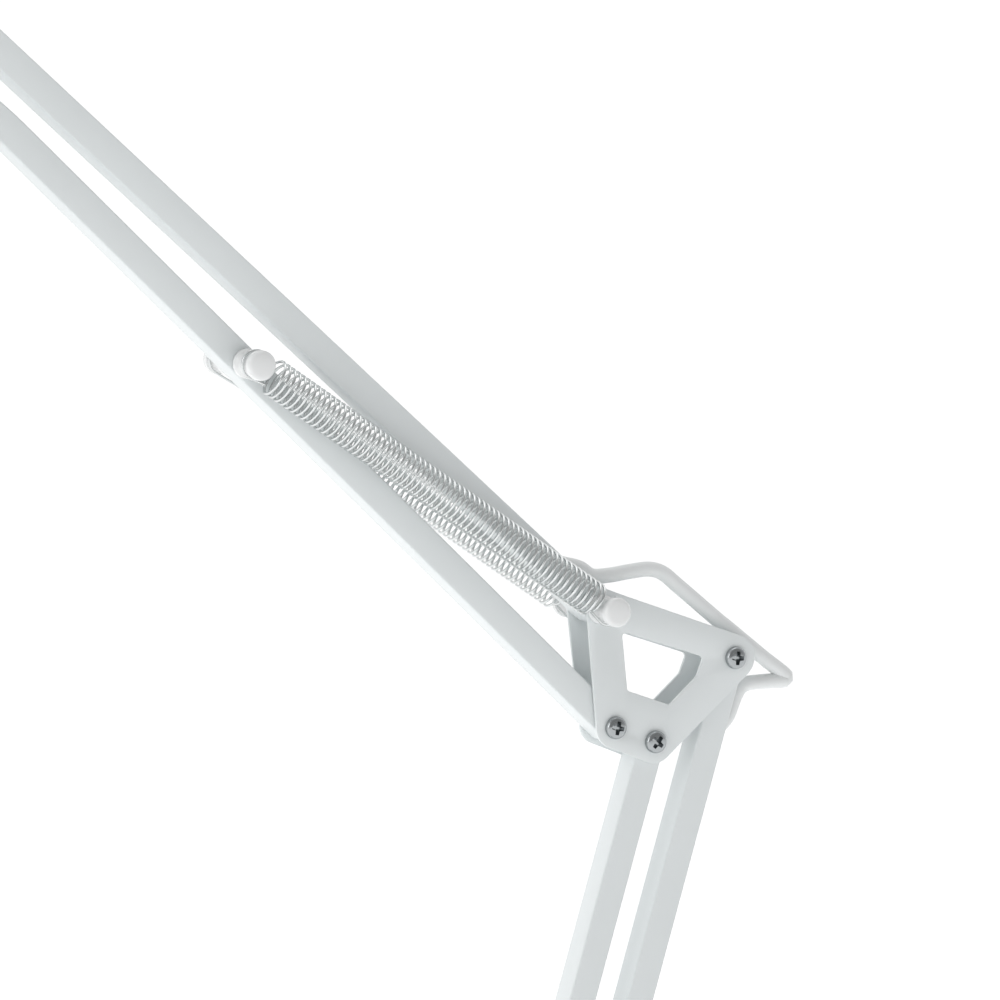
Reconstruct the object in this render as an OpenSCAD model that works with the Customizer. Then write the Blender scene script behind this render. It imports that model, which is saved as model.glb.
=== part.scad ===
// Swing arm desk lamp: weighted base, two sprung parallel arms, tilting shade.
// Millimetres. +Z up, front is -Y, origin at the middle of the base's underside.
// Every arm hinge turns about a line along Y.

/* [Arms] */
// lower arm length, pivot to pivot
lower_len = 380; // [300:5:450]
// upper arm length, pivot to pivot
upper_len = 400; // [320:5:460]
// lower arm angle above the desk as stored
lower_angle = 72.9; // [62:0.1:100]
// upper arm angle, counted from the right-hand desk line
upper_angle = 137.83; // [128:0.01:175]
// Lean of each upper tube towards the other, degrees
upper_lean = 0.9; // [0:0.05:1]
// width of the square arm tubes
tube_w = 10; // [8:0.5:10.4]
// wall thickness of the arm tubes
tube_wall = 1; // [0.8:0.1:1.2]

/* [Brackets] */
// thickness of the bracket plates
plate_t = 1.2; // [0.8:0.1:2.5]
// diameter of the pivot screws
screw_d = 4; // [3:0.5:4.5]
// diameter of the pivot screw heads
head_d = 7.6; // [6.5:0.1:8.5]

/* [Springs] */
// outside diameter of the springs
spring_d = 12.6; // [10:0.2:14]
// wire diameter of the springs
wire_d = 1; // [0.8:0.1:1.4]
// distance of the upper spring post along its tube
upper_post_at = 184.5; // [140:0.5:230]
// distance of the lower spring post along its tube
lower_post_at = 165; // [130:1:220]
// half of the distance between a post's two end caps
post_half = 18.6; // [17.5:0.1:21]

/* [Base] */
// diameter of the base
base_d = 190; // [160:2:230]
// height of the base's top above the desk
base_h = 17; // [14:0.5:24]

/* [Shade] */
// diameter of the shade's mouth
shade_d = 150; // [120:2:160]
// height of the shade
shade_h = 121; // [100:1:130]
// thickness of the shade's metal
shade_t = 0.9; // [0.7:0.1:1.4]

/* [Cord] */
// diameter of the mains lead
cord_d = 5.2; // [4.2:0.1:5.6]

/* [Hidden] */
$fn = 48;
fit = 0.06;          // radial play of a pivot in its bore
gap = 0.4;           // play between a tube and the plates beside it
half = tube_w / 2;
yi = half + gap;             // inner face of a bracket plate
yo = yi + plate_t;           // outer face of a bracket plate
ul = [cos(lower_angle), sin(lower_angle)];
uu = [cos(upper_angle), sin(upper_angle)];

// elbow pivots, from the lower pivot of the upper arm
a_off = [-5.6, 40];
c_off = [15.1, -5.6];
d_off = [45.7, 21.1];
// base bracket pivots: same spacing as the elbow's, centred over the swivel
c0_z = 58;
cb = [(c_off[0] - d_off[0]) / 2, c0_z];
db = cb + d_off - c_off;
// world places of the elbow pivots
pd = db + lower_len * ul;
pb = pd - d_off;
pa = pb + a_off;
pc = pb + c_off;
// world places of the head pivots
hb = pb + upper_len * uu;
ha = pa + upper_len * uu;
hh = hb + [-42, 10];
// the upper tubes lean together and are cranked back to their pivots near the head
crank_from = upper_len - 98;
crank_to = upper_len - 40;
function lean_raw(x) = x <= crank_from ? x * tan(upper_lean)
  : x <= crank_to ? crank_from * tan(upper_lean) * (crank_to - x) / (crank_to - crank_from) : 0;
function lean_at(x) = (lean_raw(x - 8) + lean_raw(x - 4) + lean_raw(x) + lean_raw(x + 4)
  + lean_raw(x + 8)) / 5;
// spring posts on the arms
ps = pb + upper_post_at * uu - lean_at(upper_post_at) * [-uu[1], uu[0]];
pl = cb + lower_post_at * ul;

end_over = half;             // tube end beyond its pivot, rounded
bush_r = screw_d / 2 + 0.95;
spring_y = (yo + post_half - 2) / 2 + 1;
shade_top = hh[1] - 29;
shade_rim = shade_top - shade_h;
neck_r = 27;
neck_z = shade_top - 46;
cord_r = cord_d / 2;

paint = [0.86, 0.88, 0.88];
steel = [0.75, 0.75, 0.77];
plastic = [0.94, 0.94, 0.93];
dark = [0.2, 0.2, 0.2];

// ---- helpers -----------------------------------------------------------
module at(p) translate([p[0], 0, p[1]]) children();
module rod(r, y0, y1) translate([0, y0, 0]) rotate([-90, 0, 0]) cylinder(r = r, h = y1 - y0);
module hexrod(af, y0, y1) translate([0, y0, 0]) rotate([-90, 0, 0])
  cylinder(r = af / 2 / cos(30), h = y1 - y0, $fn = 6);
module along(p, a) at(p) rotate([0, -a, 0]) children();
// thin plate lying in the X-Z plane from a 2-D outline
module sheet(y0, y1) translate([0, y1, 0]) rotate([90, 0, 0])
  linear_extrude(height = y1 - y0) children();

// outward normal of the line that touches two corner circles
function touch(p, q, r1, r2) = let (d = q - p, l = norm(d), e = d / l,
  s = (r1 - r2) / l, c = sqrt(1 - s * s)) [e[1] * c + e[0] * s, -e[0] * c + e[1] * s];
// outline of a bracket plate, anticlockwise corners with round radii of their own
function round_pts(p, r, k = 9) = let (n = len(p)) [for (i = [0:n - 1])
  let (h = (i + n - 1) % n, j = (i + 1) % n,
    u = touch(p[h], p[i], r[h], r[i]), v = touch(p[i], p[j], r[i], r[j]),
    a = atan2(u[1], u[0]), b0 = atan2(v[1], v[0]), b = b0 < a ? b0 + 360 : b0)
  for (t = [0:k]) p[i] + r[i] * [cos(a + (b - a) * t / k), sin(a + (b - a) * t / k)]];
module outline(pts, rs) polygon(round_pts(pts, rs));
module window(pts, r) polygon(round_pts(pts, [for (p = pts) r], 4));

// pan head screw along Y, head at the front
module screw(y_head, y_end) {
  difference() {
    union() {
      rod(screw_d / 2, y_head, y_end);
      rod(head_d / 2, y_head - 1.3, y_head);
      translate([0, y_head - 1.3, 0]) rotate([90, 0, 0])
        cylinder(r1 = head_d / 2, r2 = head_d / 2 - 0.9, h = 1);
    }
    for (a = [20, 110]) rotate([0, a, 0])
      translate([-2.1, y_head - 2.4, -0.45]) cube([4.2, 1.5, 0.9]);
  }
}
module nut(y0) difference() {
  hexrod(7, y0, y0 + 3.2);
  rod(screw_d / 2 + 0.05, y0 - 1, y0 + 5);
}
module bush() difference() {
  rod(bush_r, -yi + 0.02, yi - 0.02);
  rod(screw_d / 2 + 0.05, -yi - 1, yi + 1);
}
module pin() rod(screw_d / 2, -post_half + 1.2, post_half - 1.2);
// white collar, neck and cap at one end of a spring post, on the -Y side
module spool(y_in) difference() {
  union() {
    rod(4.9, -y_in - 1.4, -y_in);
    rod(4.1, -15.9, -y_in - 1);
    rod(4.9, -post_half + 0.5, -15.6);
    translate([0, -post_half + 0.5, 0]) rotate([90, 0, 0])
      cylinder(r1 = 4.9, r2 = 4.2, h = 0.5);
  }
  rod(screw_d / 2 + 0.05, -post_half + 1.1, 1);
}
module spools(y_in) { spool(y_in); mirror([0, 1, 0]) spool(y_in); }

// spring between two posts, drawn as its sleeve with a round eye at each end
module spring(p, q) {
  d = q - p;
  l = norm(d);
  a = atan2(d[1], d[0]);
  ri = spring_d / 2 - wire_d;
  for (s = [-1, 1]) translate([0, s * spring_y, 0]) along(p, a) {
    translate([9, 0, 0]) rotate([0, 90, 0]) difference() {
      cylinder(r = spring_d / 2, h = l - 18);
      translate([0, 0, wire_d]) cylinder(r = ri, h = l - 18 - 2 * wire_d);
    }
    for (e = [0, 1]) translate([e * l, 0, 0]) {
      rotate([90, 0, 0]) rotate_extrude()
        translate([5.2, 0]) circle(r = wire_d / 2, $fn = 16);
      rotate([0, e == 0 ? 90 : -90, 0]) translate([0, 0, 5.2])
        cylinder(r = wire_d / 2, h = 4.3, $fn = 16);
    }
  }
}

// square tube from one pivot to the other; slots are [from, to, side] for the cord
// and lean is -1, 0 or 1 for the way the tube leans off the line of its pivots
module strip(l, h, over, lean) {
  x = lean == 0 ? [-over, l + over] : concat([-over, crank_from - 8],
    [for (t = [-4:4:8]) crank_from + t], [for (t = [-8:4:8]) crank_to + t], [l + over]);
  n = len(x);
  translate([0, h, 0]) rotate([90, 0, 0]) linear_extrude(height = 2 * h)
    polygon([for (i = [0:2 * n - 1]) let (j = i < n ? i : 2 * n - 1 - i)
      [x[j], lean * lean_at(x[j]) + (i < n ? -h : h)]]);
}
module tube(l, holes, slots, lean = 0) difference() {
  union() {
    strip(l, half, 0, lean);
    for (x = [0, l]) translate([x, 0, 0]) rod(half, -half, half);
  }
  strip(l, half - tube_wall, end_over + 1, lean);
  for (x = [0, l]) translate([x, 0, 0]) rod(bush_r + fit, -half - 1, half + 1);
  for (x = holes) translate([x, 0, lean * lean_at(x)])
    rod(screw_d / 2 + 0.03, -half - 1, half + 1);
  for (s = slots) translate([s[0], -3, s[2] > 0 ? half - tube_wall - 1 : -half - 1])
    cube([s[1] - s[0], 6, tube_wall + 2]);
}

// round cord swept along points: one closed solid of rings
function unit(v) = v / norm(v);
function dirs(p) = let (n = len(p)) [for (i = [0:n - 1])
  unit(unit(p[min(i + 1, n - 1)] - p[max(min(i, n - 2), 0)])
     + unit(p[max(min(i, n - 1), 1)] - p[max(i - 1, 0)]))];
module sweep(p, r, k = 10) {
  n = len(p);
  d = dirs(p);
  pts = [for (i = [0:n - 1]) let (side = abs(d[i][1]) > 0.8 ? [1, 0, 0] : [0, 1, 0],
      u = unit(cross(d[i], side)), v = cross(d[i], u))
    for (j = [0:k - 1]) p[i] + r * (cos(360 * j / k) * u + sin(360 * j / k) * v)];
  faces = concat([[for (j = [0:k - 1]) j]],
    [for (i = [0:n - 2]) for (j = [0:k - 1])
      [i * k + j, (i + 1) * k + j, (i + 1) * k + (j + 1) % k, i * k + (j + 1) % k]],
    [[for (j = [0:k - 1]) (n - 1) * k + k - 1 - j]]);
  polyhedron(points = pts, faces = faces, convexity = 8);
}
// points given from a place in the X-Z plane
function near(o, q) = [for (v = q) [o[0] + v[0], 0, o[1] + v[1]]];
// a point along a tube: t along, s to its left
function on(o, u, t, s) = [o[0] + u[0] * t - u[1] * s, 0, o[1] + u[1] * t + u[0] * s];

// where the cord leaves each tube
function top(t, s) = on(pa, uu, t, s + lean_at(t));   // inside the top tube
exit_a = top(26, -1.4);
exit_d = on(pd, ul, -38, 0);
exit_h = on(ha, uu, -34, 0);
exit_b = on(db, ul, 38, 0);
mid_e = [pb[0] + 44.6, 0, pb[1] + 31.9];
mid_dir = [0.81, 0, -0.586];
mid_h = [hh[0] + 13.5, 0, hh[1] + 12];
in_post = [0, 0, 50.5];

// ---- base --------------------------------------------------------------
base_r = base_d / 2;
module base_pad() color(dark) cylinder(r = base_r - 5, h = 2, $fn = 96);
module base_weight() color(dark) difference() {
  translate([0, 0, 2]) cylinder(r = base_r - 2, h = base_h - 3.5, $fn = 96);
  translate([0, 0, 1]) cylinder(r = 10.3, h = base_h);
  translate([-4.3, 0, 1]) cube([8.6, base_r + 5, 9.1]);
  for (a = [30, 150, 270]) rotate([0, 0, a]) translate([18, 0, 6]) cylinder(r = 1.7, h = 30);
}
module base_cover() color(paint) difference() {
  rotate_extrude($fn = 96) polygon([[10.4, base_h - 1.4], [base_r - 1.8, base_h - 1.4],
    [base_r - 1.8, 1], [base_r, 1], [base_r, base_h - 3], [base_r - 0.9, base_h - 0.9],
    [base_r - 3, base_h], [10.4, base_h]]);
  translate([0, base_r - 6, 5.6]) rotate([-90, 0, 0]) cylinder(r = 4.2, h = 12);
  for (a = [30, 150, 270]) rotate([0, 0, a])
    translate([18, 0, base_h - 5]) cylinder(r = 2.3, h = 10);
}
module base_socket() color(paint) difference() {
  union() {
    translate([0, 0, base_h]) cylinder(r = 24, h = 3);
    translate([0, 0, base_h]) cylinder(r = 12, h = 18);
    translate([0, 0, 10]) cylinder(r = 10.2, h = base_h - 9);
  }
  translate([0, 0, 11.5]) cylinder(r = 8.2, h = 40);
  translate([0, 0, 5]) cylinder(r = 3.6, h = 20);
  for (a = [30, 150, 270]) rotate([0, 0, a]) translate([18, 0, 5]) {
    cylinder(r = 2.2, h = 30);
    translate([0, 0, base_h - 4.2]) cylinder(r1 = 1.55, r2 = 4.67, h = 2.6);
  }
}
module socket_screws() color(steel) for (a = [30, 150, 270]) rotate([0, 0, a])
  translate([18, 0, 0]) difference() {
    union() {
      translate([0, 0, 7]) cylinder(r = 1.6, h = base_h - 6);
      translate([0, 0, base_h + 1]) cylinder(r1 = 1.6, r2 = 3.9, h = 2);
    }
    for (b = [0, 90]) rotate([0, 0, b]) translate([-1.8, -0.4, base_h + 2])
      cube([3.6, 0.8, 2]);
  }
module swivel_bush() color(plastic) difference() {
  union() {
    translate([0, 0, 17]) cylinder(r = 8.15, h = base_h + 1.1);
    translate([0, 0, base_h + 18]) cylinder(r = 10, h = 1);
  }
  translate([0, 0, 5]) cylinder(r = 6 + fit, h = 60);
}
module lead_gland() color(plastic) translate([0, base_r, 5.6]) rotate([-90, 0, 0]) difference() {
  union() {
    translate([0, 0, -4]) cylinder(r = 4.1, h = 5);
    cylinder(r = 5.2, h = 2);
    translate([0, 0, 1.5]) cylinder(r1 = 4.6, r2 = 3.3, h = 26);
  }
  translate([0, 0, -8]) cylinder(r = cord_r + 0.05, h = 50);
}
module cord_base() color(plastic) sweep([[0, 0, 12.2], [0, 0, 10.5], [0, 1.2, 8.2],
  [0, 3.6, 6.3], [0, 7, 5.6], [0, 40, 5.6], [0, base_r + 27, 5.6]], cord_r);

// ---- swivelling bracket ------------------------------------------------
module swivel_post() color(steel) difference() {
  union() {
    translate([0, 0, 12.5]) cylinder(r = 6, h = base_h + 8);
    translate([0, 0, base_h + 19.3]) cylinder(r = 10, h = 2.6);
    translate([-12, -yi, base_h + 21.5]) cube([24, 2 * yi, 11.5]);
    translate([0, 0, 20]) cylinder(r = 6, h = base_h);
  }
  translate([0, 0, 5]) cylinder(r = 3.2, h = 60);
  for (x = [-7.5, 7.5]) translate([x, 0, base_h + 27.5]) rod(screw_d / 2 + 0.05, -20, 20);
}
module base_plate() difference() {
  outline([[-12, base_h + 24], [12, base_h + 24], db, cb], [2, 2, 7, 7]);
  for (p = [cb, db]) translate(p) circle(r = screw_d / 2 + 0.05);
  for (x = [-7.5, 7.5]) translate([x, base_h + 27.5]) circle(r = screw_d / 2 + 0.05);
  window([[-5, 60], [7, 60], [9.5, 72], [5, 71]], 1.5);
}
module base_plate_front() color(paint) sheet(-yo, -yi) base_plate();
module base_plate_rear() color(paint) sheet(yi, yo) base_plate();
module block_screws() color(steel) for (x = [-7.5, 7.5])
  at([x, base_h + 27.5]) { screw(-yo, yo + 4); nut(yo); }
module base_pivot_screw() color(steel) at(cb) screw(-yo, yo + 4.5);
module base_pivot_nut() color(steel) at(cb) nut(yo);
module base_bushes() color(plastic) for (p = [cb, db]) at(p) bush();
module base_spring_pin() color(steel) at(db) pin();
module base_spools() color(plastic) at(db) spools(yo + 0.1);
module lower_springs() color(steel) spring(db, pl);
module cord_post() color(plastic) sweep([[0, 0, 12.2], [0, 0, 30], in_post], cord_r);
module cord_loop_base() color(plastic) sweep(concat([exit_b, on(db, ul, 37, 0), on(db, ul, 31, -3),
  on(db, ul, 25, -8), on(db, ul, 16, -13.5)], near([0, 0], [[33.5, 84], [31.5, 74],
  [26, 66], [18, 61], [10, 58.5], [4.2, 56.3], [1, 53.6], [0, 51.6]]), [in_post]), cord_r);

// ---- lower arm -----------------------------------------------------------
module lower_right_tube() color(paint) along(db, lower_angle)
  tube(lower_len, [], [[18, 38, -1], [lower_len - 31, lower_len - 15, -1]]);
module cord_lower() color(plastic) sweep([exit_b, on(db, ul, lower_len / 2, 0), exit_d], cord_r);
module lower_left_tube() color(paint) along(cb, lower_angle) tube(lower_len, [lower_post_at], []);
module lower_spring_pin() color(steel) at(pl) pin();
module lower_spools() color(plastic) at(pl) spools(half + 0.2);

// ---- elbow ---------------------------------------------------------------
module elbow_plate(ra) difference() {
  outline([[0, 0], c_off, d_off, a_off + [0.4, 1.4]], [6.9, 7.3, 7.7, ra]);
  window([[6, 13.2], [20.5, 8.1], [29.8, 16.2], [31.8, 21.1], [4.2, 30.3]], 1.4);
  for (p = [[0, 0], c_off, d_off, a_off]) translate(p) circle(r = screw_d / 2 + 0.05);
}
module elbow_plate_front() color(paint) at(pb) sheet(-yo, -yi) elbow_plate(5.5);
module elbow_plate_rear() color(paint) at(pb) sheet(yi, yo) elbow_plate(6.6);
module elbow_screws() color(steel) for (p = [pb, pc, pd]) at(p) screw(-yo, yo + 4.5);
module elbow_nuts() color(steel) for (p = [pb, pc, pd]) at(p) nut(yo);
module elbow_bushes() color(plastic) for (p = [pa, pb, pc, pd]) at(p) bush();
module elbow_spring_pin() color(steel) at(pa) pin();
module elbow_spools() color(plastic) at(pa) spools(yo + 0.1);
module upper_springs() color(steel) spring(pa, ps);
// loop of the lead past the elbow, in two halves
module cord_elbow_upper() color(plastic) sweep(concat([exit_a, top(25, -1.4),
  top(18.6, -4), top(12.4, -7.1)], near(pb, [[-5.6, 50.6], [1, 50], [9, 50.2],
  [16.8, 50], [22.2, 48.1], [28.4, 43.8], [36.6, 37.8]]), [mid_e - mid_dir, mid_e]), cord_r);
module cord_elbow_lower() color(plastic) sweep(concat([mid_e, mid_e + mid_dir],
  near(pb, [[52.9, 25.5], [58.4, 21.2], [63.2, 17.5], [66.9, 14.9], [68.6, 13.3], [68.3, 11.9],
  [66, 11.6], [62, 11.6], [57, 11.5], [53.6, 11.2], [51.2, 9.9], [49.6, 7.6]]),
  [on(pd, ul, -16, -7.6), on(pd, ul, -19.5, -6.9), on(pd, ul, -22.5, -5.4),
  on(pd, ul, -25.5, -3.3), on(pd, ul, -28.5, -1.4), on(pd, ul, -32, -0.3), on(pd, ul, -36, 0),
  exit_d]), cord_r);

// ---- upper arm -------------------------------------------------------------
module upper_top_tube() color(paint) along(pa, upper_angle)
  tube(upper_len, [], [[8.4, 30, -1], [upper_len - 34, upper_len - 15, -1]], 1);
module cord_upper() color(plastic) sweep([exit_a, top(27, -1.4), top(36, 0),
  top(crank_from - 8, 0), top(crank_from, 0), top(crank_from + 8, 0), top(crank_to - 5, 0),
  on(ha, uu, -35, 0), exit_h], cord_r);
module upper_bottom_tube() color(paint) along(pb, upper_angle)
  tube(upper_len, [upper_post_at], [], -1);
module upper_spring_pin() color(steel) at(ps) pin();
module upper_spools() color(plastic) at(ps) spools(half + 0.2);

// ---- head bracket ------------------------------------------------------------
module head_plate() difference() {
  outline([[0, 0], a_off, [-42, 10]], [6.6, 5.6, 8]);
  window([[-9, 9], [-11.5, 27], [-28, 14]], 1.6);
  for (p = [[0, 0], a_off]) translate(p) circle(r = screw_d / 2 + 0.05);
  translate([-42, 10]) circle(r = 2.55);
}
module head_plate_front() color(paint) at(hb) sheet(-yo, -yi) head_plate();
module head_plate_rear() color(paint) at(hb) sheet(yi, yo) head_plate();
module head_screws() color(steel) for (p = [ha, hb]) at(p) screw(-yo, yo + 4.5);
module head_nuts() color(steel) for (p = [ha, hb]) at(p) nut(yo);
module head_bushes() color(plastic) for (p = [ha, hb]) at(p) bush();
module tilt_bolt() color(steel) at(hh) {
  rod(2.5, -yo - 8, yo + 0.5);
  rod(4.5, yo, yo + 3);
}
module tilt_knob() color(plastic) at(hh) difference() {
  union() {
    rod(6, -yo - 3, -yo - 0.4);
    rod(10.5, -yo - 12, -yo - 3);
    for (a = [0:60:300]) rotate([0, a, 0]) translate([9.6, 0, 0]) rod(2.4, -yo - 12, -yo - 3);
  }
  rod(2.5 + fit, -yo - 8.5, 1);
}
module cord_head_upper() color(plastic) sweep(concat([exit_h, on(ha, uu, -33, 0), on(ha, uu, -27, -3.2),
  on(ha, uu, -20, -8.6)], near(hh, [[55, 34], [49.5, 41.5], [41, 45], [31, 43.4],
  [22.6, 37], [17, 28], [14.4, 20], [13.5, 13.5]]), [mid_h]), cord_r);
module cord_head_lower() color(plastic) sweep(concat([mid_h], near(hh, [[13.5, 10.5], [12.4, 0],
  [12, -14], [12, -29], [12, -36]])), cord_r);

// ---- shade and lamp ------------------------------------------------------------
module shade_stem() color(steel) difference() {
  union() {
    at(hh) rod(7, -yi + 0.3, yi - 0.3);
    translate([hh[0], 0, hh[1] - 42]) cylinder(r = 4.5, h = 40);
    translate([hh[0], 0, shade_top]) cylinder(r = 6.5, h = 2);
  }
  at(hh) rod(2.5 + fit, -20, 20);
}
module stem_nut() color(steel) translate([hh[0], 0, shade_top - 8.8]) difference() {
  cylinder(r = 8.5, h = 3.4, $fn = 6);
  translate([0, 0, -1]) cylinder(r = 4.55, h = 6);
}
module shade() color(paint) translate([hh[0], 0, 0]) difference() {
  rotate_extrude($fn = 72) polygon([[4.6, shade_top], [22, shade_top], [25.4, shade_top - 2],
    [neck_r, shade_top - 6], [neck_r, neck_z], [shade_d / 2 - 0.4, shade_rim + 2],
    [shade_d / 2, shade_rim], [shade_d / 2 - 1.4, shade_rim],
    [shade_d / 2 - 1.4 - shade_t, shade_rim + 2.2],
    [neck_r - shade_t, neck_z + 0.5], [neck_r - shade_t, shade_top - 6.4],
    [24.8, shade_top - 2.8], [21.8, shade_top - shade_t], [4.6, shade_top - shade_t]]);
  translate([12, 0, shade_top - 5]) cylinder(r = cord_r + 0.3, h = 10);
  translate([-13, 0, shade_top - 5]) cylinder(r = 3.3, h = 10);
}
module lampholder() color(plastic) translate([hh[0], 0, 0]) difference() {
  translate([0, 0, shade_top - 49]) cylinder(r = 19, h = 48);
  translate([0, 0, shade_top - 60]) cylinder(r = 15, h = 54.6);
  translate([0, 0, shade_top - 20]) cylinder(r = 4.6, h = 30);
  translate([12, 0, shade_top - 20]) cylinder(r = cord_r + 0.3, h = 30);
  translate([-13, 0, shade_top - 3.6]) cylinder(r = 3.3, h = 10);
}
module lampholder_shell() color([0.8, 0.65, 0.35]) translate([hh[0], 0, shade_top - 46])
  difference() {
    cylinder(r = 14.9, h = 32);
    translate([0, 0, -1]) cylinder(r = 13.6, h = 31.5);
    translate([0, 0, 20]) cylinder(r = 12.2, h = 20);
  }
module bulb_cap() color(steel) translate([hh[0], 0, shade_top - 48]) {
  rotate_extrude() polygon(concat([[0, 0], [13, 0]],
    [for (i = [0:5]) for (q = [[13.3, 1.6], [12.5, 3]]) [q[0], q[1] + i * 3.2]],
    [[11, 21], [5, 23.5], [4, 25.5], [0, 25.5]]));
}
module bulb_glass() color([0.95, 0.95, 0.92]) translate([hh[0], 0, shade_top - 48])
  rotate_extrude() polygon(concat([[12, 0], [13, 0], [13.4, -5]],
    [for (a = [40:-10:-80]) [22.5 * cos(a), -31 + 22.5 * sin(a)]], [[0, -53.5], [0, -52.5]],
    [for (a = [-80:10:40]) [21.5 * cos(a), -31 + 21.5 * sin(a)]], [[12.4, -5]]));
module switch_knob() color(plastic) translate([hh[0] - 13, 0, 0]) difference() {
  union() {
    translate([0, 0, shade_top + 0.4]) cylinder(r = 6, h = 7);
    translate([0, 0, shade_top - 3.4]) cylinder(r = 3, h = 6);
    translate([-1, -6.5, shade_top + 5]) cube([2, 13, 3.4]);
  }
  translate([0, 0, shade_top - 5]) cylinder(r = 1, h = 4);
}

// ---- free lead -------------------------------------------------------------------
lead_y = base_r + 27;
coil_c = [96, lead_y + 44];
coil_mid = 29;
coil_h = 3 * cord_d;
coil_w = 3 * cord_d;
plug_at = [coil_c[0] - 70, coil_c[1] + 62];
module free_lead() color(plastic) {
  // from the gland onto the desk and to the coil's outer turn
  sweep([[0, lead_y, 5.6], [0, lead_y + 1, 5.6], [0, lead_y + 8, 4.6], [1, lead_y + 16, cord_r + 0.1],
    [4, lead_y + 27, cord_r], [11, lead_y + 39, cord_r], [22, lead_y + 47, cord_r],
    [36, lead_y + 49, cord_r], [52, lead_y + 47, cord_r],
    [coil_c[0] - coil_mid - coil_w / 2 + 1, coil_c[1], cord_r]], cord_r, 10);
  // from the coil to the plug
  sweep([[coil_c[0], coil_c[1] + coil_mid + coil_w / 2 - 1, cord_r],
    [coil_c[0] - 6, coil_c[1] + 52, cord_r], [coil_c[0] - 18, coil_c[1] + 60, cord_r + 1.5],
    [coil_c[0] - 30, coil_c[1] + 62, 5.5], [plug_at[0] + 19, plug_at[1], 7]], cord_r, 10);
}
module lead_coil() color(plastic) translate([coil_c[0], coil_c[1], coil_h / 2])
  rotate_extrude() translate([coil_mid, 0]) square([coil_w, coil_h], center = true);
module plug() {
  color(plastic) translate([plug_at[0], plug_at[1], 7]) {
    rotate([0, 90, 0]) difference() {
      union() {
        linear_extrude(height = 4) polygon([[-5.5, -13], [5.5, -13], [7, -10], [7, 10],
          [5.5, 13], [-5.5, 13], [-7, 10], [-7, -10]]);
        translate([-7, -9, -16]) cube([14, 18, 20]);
        translate([0, 0, 3]) cylinder(r1 = 6, r2 = 3.6, h = 16);
      }
    }
    translate([0, 0, 0]) for (s = [-1, 1]) translate([-16, s * 6, 0])
      rotate([0, -90, 0]) cylinder(r = 2, h = 19);
  }
}

// ---- the whole lamp ---------------------------------------------------------------
base_pad();
base_weight();
base_cover();
base_socket();
socket_screws();
swivel_bush();
lead_gland();
cord_base();
swivel_post();
base_plate_front();
base_plate_rear();
block_screws();
base_pivot_screw();
base_pivot_nut();
base_bushes();
base_spring_pin();
base_spools();
lower_springs();
cord_post();
cord_loop_base();
lower_right_tube();
cord_lower();
lower_left_tube();
lower_spring_pin();
lower_spools();
elbow_plate_front();
elbow_plate_rear();
elbow_screws();
elbow_nuts();
elbow_bushes();
elbow_spring_pin();
elbow_spools();
upper_springs();
cord_elbow_upper();
cord_elbow_lower();
upper_top_tube();
cord_upper();
upper_bottom_tube();
upper_spring_pin();
upper_spools();
head_plate_front();
head_plate_rear();
head_screws();
head_nuts();
head_bushes();
tilt_bolt();
tilt_knob();
cord_head_upper();
cord_head_lower();
shade_stem();
stem_nut();
shade();
lampholder();
lampholder_shell();
bulb_cap();
bulb_glass();
switch_knob();
free_lead();
lead_coil();
plug();
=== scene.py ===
"""Swing arm desk lamp: the shown surfaces, finishes, lead, light and camera."""

import logging
import math
from dataclasses import dataclass, field
from enum import Enum

import bmesh
import bpy
from mathutils import Matrix, Vector


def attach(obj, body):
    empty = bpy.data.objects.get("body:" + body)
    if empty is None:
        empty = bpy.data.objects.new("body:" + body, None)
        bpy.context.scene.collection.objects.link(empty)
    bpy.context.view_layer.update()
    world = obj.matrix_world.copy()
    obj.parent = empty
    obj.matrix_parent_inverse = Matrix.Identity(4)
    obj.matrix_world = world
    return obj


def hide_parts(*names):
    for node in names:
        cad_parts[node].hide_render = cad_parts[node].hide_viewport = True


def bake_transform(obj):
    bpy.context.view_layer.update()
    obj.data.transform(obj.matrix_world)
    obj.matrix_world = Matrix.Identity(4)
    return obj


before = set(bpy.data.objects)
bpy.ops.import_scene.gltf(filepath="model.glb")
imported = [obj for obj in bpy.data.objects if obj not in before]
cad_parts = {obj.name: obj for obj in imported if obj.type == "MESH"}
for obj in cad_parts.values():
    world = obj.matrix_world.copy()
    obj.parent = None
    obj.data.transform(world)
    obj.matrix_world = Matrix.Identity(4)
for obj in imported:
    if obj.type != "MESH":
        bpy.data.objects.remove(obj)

log = logging.getLogger("desk_lamp")
MM = 0.001
UP = Vector((0, 0, 1))
REARWARD = Vector((0, 1, 0))
PIVOT_HOLE = 2.05 * MM
SLOT_HALF = 2.9 * MM
SLOT_DEPTH = 6.5 * MM


class Side(Enum):
    """Which side of the arm a paired piece sits on."""

    FRONT = -1
    REAR = 1


class Body(Enum):
    """Moving groups of the lamp, by their names in the frame."""

    BASE = "base"
    BRACKET = "bracket"
    LOWER_ARM = "lower_arm"
    LOWER_LINK = "lower_link"
    ELBOW = "elbow"
    UPPER_ARM = "upper_arm"
    UPPER_LINK = "upper_link"
    HEAD = "head"
    SHADE = "shade_unit"
    KNOB = "tilt_knob_body"
    SWITCH = "switch_body"


# ---------------------------------------------------------------- finishes


def node(tree: bpy.types.NodeTree, kind: str,
         values: dict[str, float | tuple[float, ...]] | None = None) -> bpy.types.ShaderNode:
    """Adds a shader node and sets its inputs.

    Args:
        tree: The node tree.
        kind: Type of the node, without its prefix.
        values: Value by input name.

    Returns:
        The new node.
    """
    made = tree.nodes.new("ShaderNode" + kind)
    for socket, value in (values or {}).items():
        made.inputs[socket].default_value = value
    return made


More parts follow.
